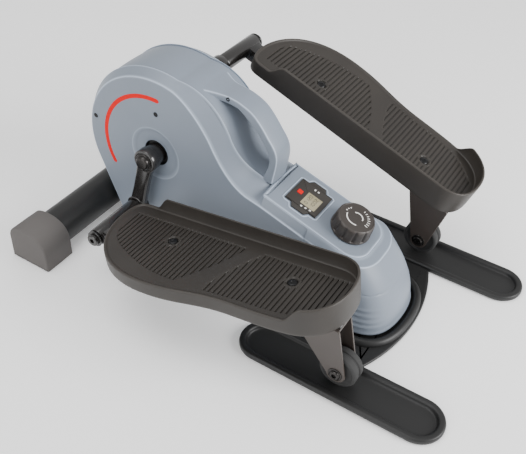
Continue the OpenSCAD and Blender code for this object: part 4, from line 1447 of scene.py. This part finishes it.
@dataclass
class Cranks:
    """Crank arms, their bosses, nuts and pedal spindles' bolts.

    Attributes:
        arm_x: Inner face of an arm.
        arm_t: Thickness of an arm.
        spindle_end: Outer end of a spindle tube.
    """

    arm_x: float = 58.0
    arm_t: float = 13.0
    spindle_end: float = 150.0

    def arm(self, side: int) -> Skin:
        """An arm: a waisted bar between two eyes, with rounded flanks.

        The bar's half width along its length is a smooth dip between the two eyes' radii.

        Args:
            side: -1 for the left arm, 1 for the right one.

        Returns:
            The arm with both its eyes.
        """
        pin = np.array(PLAN.pin(side))
        crank = np.array(PLAN.crank)
        way = (pin - crank) / PLAN.throw
        square = np.array([-way[1], way[0]])
        s = np.linspace(0, 1, 34)
        wide = 12.5 - 2.2 * np.sin(math.pi * s) ** 0.8 - 0.8 * s
        up = np.column_stack([s * PLAN.throw, wide])
        down = np.column_stack([s[::-1] * PLAN.throw, -wide[::-1]])
        cap1 = arc((PLAN.throw, 0), wide[-1], 90, -90, 14)[1:-1]
        cap0 = arc((0, 0), wide[0], 270, 90, 14)[1:-1]
        outline = np.vstack([up, cap1, down, cap0])[::-1]
        outline = even(outline, 120, closed=True)
        flat = crank + outline[:, :1] * way + outline[:, 1:] * square
        if np.sum(flat[:, 0] * np.roll(flat[:, 1], -1) - np.roll(flat[:, 0], -1) * flat[:, 1]) < 0:
            flat = flat[::-1]
        x0, x1 = self.arm_x + 1.0, self.arm_x + self.arm_t - 1.0
        steps = [(2.6, x0), (0.8, x0 + 0.7), (0, x0 + 2.6),
                 (0, x1 - 2.6), (0.8, x1 - 0.7), (2.6, x1)]
        rows = np.array([
            np.column_stack([np.full(len(flat), x * side), inset(flat, d)]) for d, x in steps
        ])
        bar = grid(rows, tone=[0, 0.6, 0, 0, 0.6, 0])
        big = turned([(42.6, 12.6), (43.4, 13.8), (57.4, 14), (57.6, 15.0), (58.2, 15.8),
                      (59.6, 16), (70, 16), (70.6, 15.6), (70.9, 14.8), (70.9, 12.4),
                      (70.2, 11.9), (70.2, 9.6)],
                     72, tone=[0, .3, 0, .3, .6, 0, 0, .9, .6, .4, .2, 0])
        small = turned([(58.2, 12.4), (58.6, 13.6), (59.6, 14), (70, 14), (70.6, 13.6),
                        (70.9, 12.6), (70.9, 9)], 64, tone=[0, .5, 0, 0, .8, .4, 0])
        return joined([bar, along_x(big.sided(side), crank), along_x(small.sided(side), pin)])

    def nut(self, side: int) -> Skin:
        """A domed nut with a bright ring at the axle's end."""
        profile = [(70.4, 11.6), (71.4, 11.9), (72.4, 11.2), (72.6, 9.8), (75.6, 9.4), (76.7, 8.2),
                   (77.0, 6.5), (76.9, 1.0)]
        return along_x(turned(profile, 64).sided(side), PLAN.crank)

    def bolt(self, side: int) -> Skin:
        """A spindle bolt: washer, round head and a hexagon socket."""
        end, count = self.spindle_end, 48
        head = [(end - 4, 6.8), (end, 6.8), (end, 10.8), (end + 0.4, 11), (end + 1.7, 11),
                (end + 2, 10.6), (end + 2, 7.4), (end + 2.6, 7.9), (end + 6.2, 7.8),
                (end + 6.9, 7.0), (end + 7, 4.3)]
        angle = np.linspace(0, TAU, count, endpoint=False)
        hexagon = 3.5 / np.cos((angle % (TAU / 6)) - TAU / 12) * math.cos(TAU / 12)
        socket = [
            np.stack([np.full(count, end + depth), hexagon * np.cos(angle),
                      hexagon * np.sin(angle)], -1)
            for depth in (6.9, 3.2)
        ]
        rows = np.concatenate([rings(head, count), np.array(socket)])
        return along_x(grid(rows).sided(side), PLAN.pin(side))

    def build(self) -> None:
        """Makes and dresses both cranks."""
        for side in Side:
            place(f"crank_{side.word}_forging", self.arm(side.value), Look.ENAMEL, "crank",
                  (f"crank_arm_{side.word}",), 50)
            place(f"axle_nut_{side.word}", self.nut(side.value), Look.DARK_STEEL, "crank",
                  ("axle_nuts",), 40)
            place(f"spindle_bolt_{side.word}", self.bolt(side.value), Look.ENAMEL, "crank",
                  ("spindle_bolts",), 35)


# ---------------------------------------------------------------- pedals


@dataclass
class Pedal:
    """A foot platform with its arm, bracket, roller axle and roller.

    Lengths are along the pedal: u runs rearwards from the spindle, v away from the machine's
    middle and w up, square to the deck.

    Attributes:
        side: Which of the two pedals.
        deck_w: Height of the deck.
        rim_w: Height of the low rim.
        wall_w: Height of the tall wall.
        foot_w: Lower edge of the skirt.
        wall: Thickness of the walls.
        middle_v: Centre line of the arm and the roller.
        roller_u: Roller's place along the pedal.
        roller_w: Depth of the roller below the spindle.
        roller_r: Radius of the roller.
        roller_z: Height of the roller's axle at rest.
        pitch: Distance from groove to groove.
        groove: Half the width of a groove.
        screw_u: Places of the deck screws.
    """

    side: Side
    deck_w: float = 24.6
    rim_w: float = 26.0
    wall_w: float = 43.5
    foot_w: float = 8.0
    wall: float = 3.0
    middle_v: float = 132.7
    roller_u: float = 338.6
    roller_w: float = 78.8
    roller_r: float = 23.5
    roller_z: float = 31.0
    pitch: float = 5.9
    groove: float = 1.15
    screw_u: tuple = (115.0, 281.0)
    pin: Point = field(init=False)
    slope: float = field(init=False)

    def __post_init__(self) -> None:
        """Works out the spindle's place and the slope that puts the roller on its track."""
        self.pin = PLAN.pin(self.side.value)
        reach = math.hypot(self.roller_u, self.roller_w)
        self.slope = math.asin((self.pin[1] - self.roller_z) / reach) - math.atan2(
            self.roller_w, self.roller_u
        )

    @property
    def body(self) -> str:
        """The CAD body of this pedal."""
        return f"pedal_{self.side.word}_set"

    def set_down(self, skin: Skin) -> Skin:
        """Takes a shape from (u, v, w) to the frame's axes."""
        c, s = math.cos(self.slope), math.sin(self.slope)
        side, (y, z) = self.side.value, self.pin

        def move(p: np.ndarray) -> np.ndarray:
            """Turns by the slope about the spindle."""
            u, v, w = p.T
            return np.column_stack([side * v, y - u * c - w * s, z - u * s + w * c])

        return skin.shaped(move)

    @staticmethod
    def outline() -> np.ndarray:
        """The platform's outline as (u, v), counter-clockwise from the toe's inner corner."""
        curve = chain(
            bezier((24, 118), (24, 88), (34, 86), (46, 86), 16),
            line((46, 86), (318, 86), 60),
            bezier((318, 86), (345, 86), (356, 105), (356, 136), 24),
            bezier((356, 136), (356, 165), (340, 187), (310, 192), 24),
            bezier((310, 192), (288, 195.5), (268, 196), (240, 196.5), 16),
            bezier((240, 196.5), (190, 197.5), (175, 212), (125, 212), 30),
            bezier((125, 212), (52, 212), (24, 160), (24, 118), 40),
        )
        return even(curve, 360, closed=True)

    def wall_height(self, outline: np.ndarray) -> np.ndarray:
        """Rim height along the outline: tall inboard and round the heel, low elsewhere.

        It climbs on a short curve near the toe and drops on an S-step outboard of the heel.

        Args:
            outline: The platform's outline as (u, v).

        Returns:
            The height w of the rim at each of its points.
        """
        u, v = outline.T
        inboard = v < 120
        climb = smooth((u - 56) / 20) * inboard
        behind = smooth((u - 303) / 20) * (~inboard)
        return self.rim_w + (self.wall_w - self.rim_w) * np.maximum(climb, behind)

    def tray(self) -> Skin:
        """The platform's shell: skirt, wall and rim in one loop of rings."""
        outline = self.outline()
        high = self.wall_height(outline)
        t = self.wall

        def ring(depth: float, height: np.ndarray | float) -> np.ndarray:
            """The outline set in by depth at a height."""
            return np.column_stack([inset(outline, depth), np.broadcast_to(height, len(outline))])

        rows = [
            ring(t - 0.4, self.foot_w + 0.2), ring(0.5, self.foot_w), ring(0.1, self.foot_w + 0.8),
            ring(0, self.foot_w + 3), ring(0, 16), ring(0, self.deck_w - 2), ring(0, high - 2.2),
            ring(0.25, high - 0.8), ring(0.9, high - 0.15), ring(t / 2, high),
            ring(t - 0.9, high - 0.15), ring(t - 0.25, high - 0.3), ring(t, high - 0.4),
            ring(t, self.deck_w + 1.0), ring(t + 0.5, self.deck_w + 0.3),
            ring(t + 1.6, self.deck_w), ring(t + 2.0, self.deck_w - 0.5),
            ring(t + 3, self.deck_w - 0.8),
            ring(t + 3, self.deck_w - 2.6), ring(t, self.deck_w - 2.6), ring(t, self.foot_w + 2),
        ]
        # Painted highlight on the rim's rounded top and inner lip.
        tone = [0, 0.2, 0.5, 0, 0, 0, 0.2, 0.8, 1, 0.8, 1, 0.8, 0.2, 0.3, 0.6, 0.5, 0, 0, 0, 0, 0]
        return grid(np.array(rows), caps=(False, False), looped=True, tone=tone)

    @staticmethod
    def span(outline: np.ndarray, u: np.ndarray | float) -> tuple:
        """Lowest and highest v of an outline at each u, read off its two runs between its ends."""
        first, last = np.argmin(outline[:, 0]), np.argmax(outline[:, 0])
        loop = np.roll(outline, -first, 0)
        turn = (last - first) % len(outline)
        low = loop[: turn + 1]
        high = np.vstack([loop[turn:], loop[:1]])[::-1]
        return np.interp(u, *low.T), np.interp(u, *high.T)

    def field_share(self, u: np.ndarray, v: np.ndarray) -> np.ndarray:
        """1 on the deck's two grooved fields, which a slanting waist band parts.

        The fields end at a straight inboard line and a bowed outboard one. The waist's middle
        runs forwards as v grows, and its half width is least near the deck's middle.

        Args:
            u: Places along the pedal.
            v: Places across it.

        Returns:
            The share at each place, with soft edges.
        """
        border = spline([(38, 138), (54, 163), (110, 187), (165, 192), (240, 187), (305, 180),
                         (346, 150)], 120)
        inside = smooth((np.interp(u, *border.T) - v) / 1.6) * smooth((v - 105) / 1.6)
        middle = 202 - 0.45 * (v - 138)
        half = 9.5 + 2.5 * ((v - 135) / 30) ** 2
        waist = smooth((np.abs(u - middle) - half) / 1.6)
        return inside * waist * smooth((u - 39) / 1.5) * smooth((346 - u) / 1.5)

    def groove_share(self, u: np.ndarray, v: np.ndarray) -> np.ndarray:
        """1 where the deck is grooved: the fields without a ring round each screw."""
        share = self.field_share(u, v)
        for screw in self.screw_u:
            away = np.hypot(u - screw, v - self.middle_v)
            share = share * smooth((away - 9.5) / 1.2)
        return share

    def deck(self) -> Skin:
        """The grooved deck: a fine sheet whose height dips in each groove.

        Columns are gathered at the grooves' edges, so that every groove has upright sides, and
        at both ends, so that the sheet follows the outline there. The fields lie a little
        lower than the rest. The sheet's own underside and edge close it.
        """
        shape = inset(self.outline(), self.wall + 1.4)
        low_u, high_u = shape[:, 0].min(), shape[:, 0].max()
        half, first, end, fall, sink = self.groove, 42.0, 16.0, 0.35, 0.35
        centres = np.arange(first, high_u, self.pitch)
        offsets = np.array([-half - 0.5, -half, fall - half, half - fall, half, half + 0.5])
        marks = np.concatenate([
            (centres[:, None] + offsets).ravel(),
            low_u + end * np.linspace(0.01, 1, 16) ** 2,
            high_u - end * np.linspace(0.01, 1, 16) ** 2,
        ])
        marks = np.unique(marks[(marks > low_u) & (marks < high_u)].round(3))
        bottom, top = self.span(shape, marks)
        share = np.linspace(0, 1, 110)
        u = np.repeat(marks[:, None], len(share), 1)
        v = bottom[:, None] + (top - bottom)[:, None] * share
        phase = np.abs((u - first + self.pitch / 2) % self.pitch - self.pitch / 2)
        grooved = self.groove_share(u, v)
        w = self.deck_w - sink * self.field_share(u, v)
        w = w - 1.5 * grooved * np.clip((half + 0.02 - phase) / fall, 0, 1)
        for screw in self.screw_u:
            away = np.hypot(u - screw, v - self.middle_v)
            w = w - 2.4 * (1 - smooth((away - 6.2) / 0.9))
        n, m = u.shape
        skin = grid(np.stack([u, v, w], -1), closed=False, caps=(False, False))
        # Painted highlight along the edges of each groove.
        skin.tone = (0.7 * grooved * np.clip(1 - np.abs(phase - half - 0.25) / 0.3, 0, 1)).ravel()
        floor = np.stack([u, v, np.full_like(u, self.deck_w - 3.2)], -1)
        under = grid(floor, closed=False, caps=(False, False))
        under.faces = [face[::-1] for face in under.faces]
        both = skin + under
        number = np.arange(n * m).reshape(n, m)
        rim = np.concatenate([number[:, 0], number[-1, 1:], number[-2::-1, -1], number[0, -2:0:-1]])
        after = np.roll(rim, -1)
        both.faces += np.stack([after, rim, rim + n * m, after + n * m], 1).tolist()
        return both

    def ribs(self) -> Skin:
        """Ribs under the deck."""
        parts = []
        outline = inset(self.outline(), self.wall - 0.5)
        for u in (62, 92, 140, 170, 200, 230, 256, 306):
            bottom, top = self.span(outline, u)
            for v0, v1 in ((bottom, self.middle_v - 12), (self.middle_v + 12, top)):
                plan = rounded_box(1.1, (v1 - v0) / 2, 0.5, 3) + np.array([u, (v0 + v1) / 2])
                parts.append(stack(plan, [(0, self.foot_w + 2.5), (0, self.deck_w - 2.9)]))
        return joined(parts)

    def screws(self) -> Skin:
        """Deck screws: domed heads with a round dimple for the cross recess, down in their wells.
        """
        head = turned([(0, 5.6), (0.5, 5.8), (1.3, 5.2), (1.8, 3.8), (1.95, 2.0), (1.1, 1.4)], 40)
        turn = np.array([[0, 0, 1], [0, 1, 0], [-1, 0, 0]], float)
        head = head.shaped(lambda p: p @ turn)
        return joined(head.moved(u, self.middle_v, self.deck_w - 2.3) for u in self.screw_u)

    def arm(self) -> Skin:
        """The support arm: a spindle tube with weld beads, and a box bar below the deck."""
        tube = turned([(73.2, 9.6), (73.2, 11.1), (73.9, 11.4), (147, 11.4), (147.8, 11.1),
                       (148, 9.6)], 64, tone=[0, .7, .3, .3, .8, .3])
        tube = tube.shaped(lambda p: np.column_stack([p[:, 1], p[:, 0], p[:, 2]]))
        plan = rounded_box(169.5, 11, 1.2, 4) + np.array([175.5, self.middle_v])
        bar = stack(plan, [(0.8, -10), (0.2, -9.6), (0, -9), (0, 6.9), (0.3, 7.6), (1.0, 7.9)])
        parts = [tube, bar]
        turn = np.radians(np.linspace(-60, 40, 20))
        bead = arc((0, 0), 1.3, 0, 315, 8)
        for v in (self.middle_v - 11.4, self.middle_v + 11.4):
            path = np.column_stack([11.6 * np.cos(turn), np.full(20, v), 11.6 * np.sin(turn)])
            parts.append(sweep(path, bead, np.array([0.0, 1.0, 0.0])))
        return joined(parts)

    def bracket(self) -> Skin:
        """The roller bracket: two tapered cheeks below a bent top plate."""
        parts = []
        u0, w0 = self.roller_u, -self.roller_w
        top, gap, t = -10.2, 15.0, 2.5
        cheek = chain(
            arc((u0, w0), 12, 188, 352, 26),
            line((u0 + 11.9, w0 - 1.6), (346, top - 6), 10),
            arc((343, top - 4), 3, 0, 90, 5),
            line((343, top), (293, top), 12),
            arc((293, top - 3), 3, 90, 180, 5),
        )
        cheek = even(np.vstack([cheek, [(289.6, top - 9)]]), 110, closed=True)
        for v in (-gap, gap - t):
            part = stack(cheek, [(0.5, 0), (0, 0.5), (0, t - 0.5), (0.5, t)], [0, 0.7, 0.7, 0])
            parts.append(part.shaped(lambda p, a=v: np.column_stack(
                [p[:, 0], self.middle_v + a + p[:, 2], p[:, 1]])))
        plan = rounded_box(27, gap - t + 0.4, 1, 3) + np.array([318, self.middle_v])
        return joined([*parts, stack(plan, [(0, top - 2.8), (0, top)])])

    def at_roller(self, skin: Skin) -> Skin:
        """Takes a lathe shape about the x axis to the roller's place in (u, v, w)."""
        return skin.shaped(lambda p: np.column_stack(
            [p[:, 1] + self.roller_u, p[:, 0] + self.middle_v, p[:, 2] - self.roller_w]))

    def axle(self) -> Skin:
        """The roller's axle with a domed socket head at each end."""
        shaft = turned([(-15.2, 4.9), (15.2, 4.9)], 32)
        head = turned([(14.6, 5), (15.05, 8.6), (15.6, 8.9), (16.0, 8.6), (16.2, 6.6),
                       (17.4, 6.4), (18.3, 5.4), (18.5, 3.0), (16.4, 2.7), (16.2, 0.8)], 40)
        return self.at_roller(joined([shaft, head.sided(-1), head.sided(1)]))

    def roller(self) -> Skin:
        """The grooved tyre of the roller with a dished hub."""
        r = self.roller_r
        section = [
            (-11.2, 5.2), (-11.2, 8.4), (-9.0, 8.8), (-8.4, 10), (-8.4, 17), (-9.2, 18.2),
            (-10.3, 19.5), (-10.4, 20.8), (-9.6, 22.6), (-8.2, r), (-2.8, r), (-1.9, r - 0.5),
            (-1.3, r - 1.5), (1.3, r - 1.5), (1.9, r - 0.5), (2.8, r), (8.2, r), (9.6, 22.6),
            (10.4, 20.8), (10.3, 19.5), (9.2, 18.2), (8.4, 17), (8.4, 10), (9.0, 8.8),
            (11.2, 8.4), (11.2, 5.2),
        ]
        return self.at_roller(ring_of(section, 96))

    def build(self) -> None:
        """Makes and dresses the pedal."""
        word = self.side.word
        make = [
            ("shell", self.tray(), Look.PEDAL, self.body, (f"pedal_{word}",), 55),
            ("deck", self.deck(), Look.PEDAL, self.body, (f"pedal_{word}",), 40),
            ("ribs", self.ribs(), Look.PEDAL, self.body, (f"pedal_{word}",), 40),
            ("screws", self.screws(), Look.SCREW, self.body, (f"pedal_screws_{word}",), 40),
            ("arm", self.arm(), Look.ENAMEL, self.body, (f"pedal_arm_{word}",), 40),
            ("bracket", self.bracket(), Look.BRACKET, self.body, (f"roller_bracket_{word}",), 40),
            ("axle", self.axle(), Look.DARK_STEEL, self.body, (f"roller_axle_{word}",), 35),
            ("roller", self.roller(), Look.TYRE, f"roller_{word}_set", (f"roller_{word}",), 35),
        ]
        for part, skin, look, body, nodes, crease in make:
            place(f"pedal_{word}_{part}", self.set_down(skin), look, body, nodes, crease)


# ---------------------------------------------------------------- inner parts


class Inside:
    """The CAD nodes that stay as they are, each with a finish of its own."""

    LOOKS = {
        Look.TRACK: ("main_beam", "frame_plate_left", "frame_plate_right", "bearing_shell"),
        Look.STEEL: (
            "crank_bearings", "flywheel_bearings", "crank_axle", "pedal_spindles",
            "flywheel_axle", "magnet_pivot_pin", "sensor_magnet", "brake_magnets",
            "return_spring", "knob_spindle", "battery_cell", "spindle_bushes_left",
            "spindle_bushes_right", "belt_pulley",
        ),
        Look.FOOT: ("track_feet",),
        Look.IRON: ("flywheel",),
        Look.INNER: ("drive_pulley", "magnet_carrier", "speed_sensor"),
        Look.BELT: ("drive_belt", "cable_sheath", "sensor_lead"),
        Look.BOARD: ("display_board",),
    }

    def build(self) -> None:
        """Gives every inner node its material."""
        for look, names in self.LOOKS.items():
            for name in names:
                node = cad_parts[name]
                for slot in node.material_slots:
                    slot.material = look.material
                LOG.info("%s: finished as %s", name, look.value.name)


# ---------------------------------------------------------------- stage


@dataclass
class Studio:
    """Camera, floor and lights.

    Attributes:
        place: Camera's place in millimetres.
        azimuth: Its angle round the machine in degrees.
        elevation: Its angle above the floor.
        roll: Its turn about its own axis.
        lens: Focal length on a 36 mm sensor.
    """

    place: tuple = (-687.2, -375.4, 735.7)
    azimuth: float = -59.82
    elevation: float = 40.75
    roll: float = 3.31
    lens: float = 54.39

    def camera(self) -> None:
        """Makes the camera from its place and its three angles."""
        a, e, r = (math.radians(v) for v in (self.azimuth, self.elevation, self.roll))
        back = Vector((math.sin(a) * math.cos(e), -math.cos(a) * math.cos(e), math.sin(e)))
        right = (-back).cross(Vector((0, 0, 1))).normalized()
        up = right.cross(-back)
        across = right * math.cos(r) + up * math.sin(r)
        above = up * math.cos(r) - right * math.sin(r)
        data = bpy.data.cameras.new("camera")
        data.sensor_width = 36
        data.lens = self.lens
        camera = bpy.data.objects.new("camera", data)
        turn = Matrix((across, above, back)).transposed().to_4x4()
        camera.matrix_world = Matrix.Translation(Vector(self.place) * MM) @ turn
        bpy.context.scene.collection.objects.link(camera)
        bpy.context.scene.camera = camera

    def floor(self) -> None:
        """Makes the pale floor."""
        graph = Graph("studio_floor")
        graph.set(Base_Color=(0.95, 0.95, 0.95, 1), Roughness=0.9, Emission_Strength=0.22,
                  Emission_Color=(1, 1, 1, 1))
        mesh = bpy.data.meshes.new("floor")
        size = 6.0
        mesh.from_pydata([(-size, -size, 0), (size, -size, 0), (size, size, 0), (-size, size, 0)],
                         [], [(0, 1, 2, 3)])
        mesh.materials.append(graph.material)
        floor = bpy.data.objects.new("floor", mesh)
        bpy.context.scene.collection.objects.link(floor)

    @staticmethod
    def lamp(name: str, at: tuple, size: float, power: float) -> None:
        """A square soft light in metres, turned to the machine's middle."""
        data = bpy.data.lights.new(name, "AREA")
        data.size = size
        data.energy = power
        lamp = bpy.data.objects.new(name, data)
        lamp.location = at
        lamp.rotation_euler = (Vector((0, 0, 0.1)) - Vector(at)).to_track_quat("-Z", "Y").to_euler()
        bpy.context.scene.collection.objects.link(lamp)

    def lights(self) -> None:
        """A bright sky, a broad key from behind the tail and a fill from the left."""
        world = bpy.data.worlds.new("studio")
        world.use_nodes = True
        world.node_tree.nodes["Background"].inputs[0].default_value = (1, 1, 1, 1)
        world.node_tree.nodes["Background"].inputs[1].default_value = 0.8
        bpy.context.scene.world = world
        self.lamp("key", (0.35, -1.9, 1.0), 1.1, 52)
        self.lamp("top", (-0.5, 0.5, 2.2), 1.6, 22)
        self.lamp("fill", (-2.0, 0.3, 0.9), 1.2, 14)

    def build(self) -> None:
        """Sets the stage."""
        self.camera()
        self.floor()
        self.lights()


def main() -> None:
    """Builds the stage and every sub-assembly."""
    logging.basicConfig(level=logging.INFO, format="%(message)s")
    Studio().build()
    Inside().build()
    Housing().build()
    Console().build()
    Base().build()
    Cranks().build()
    for side in Side:
        Pedal(side).build()
    bpy.context.view_layer.update()


if __name__ == "__main__":
    main()
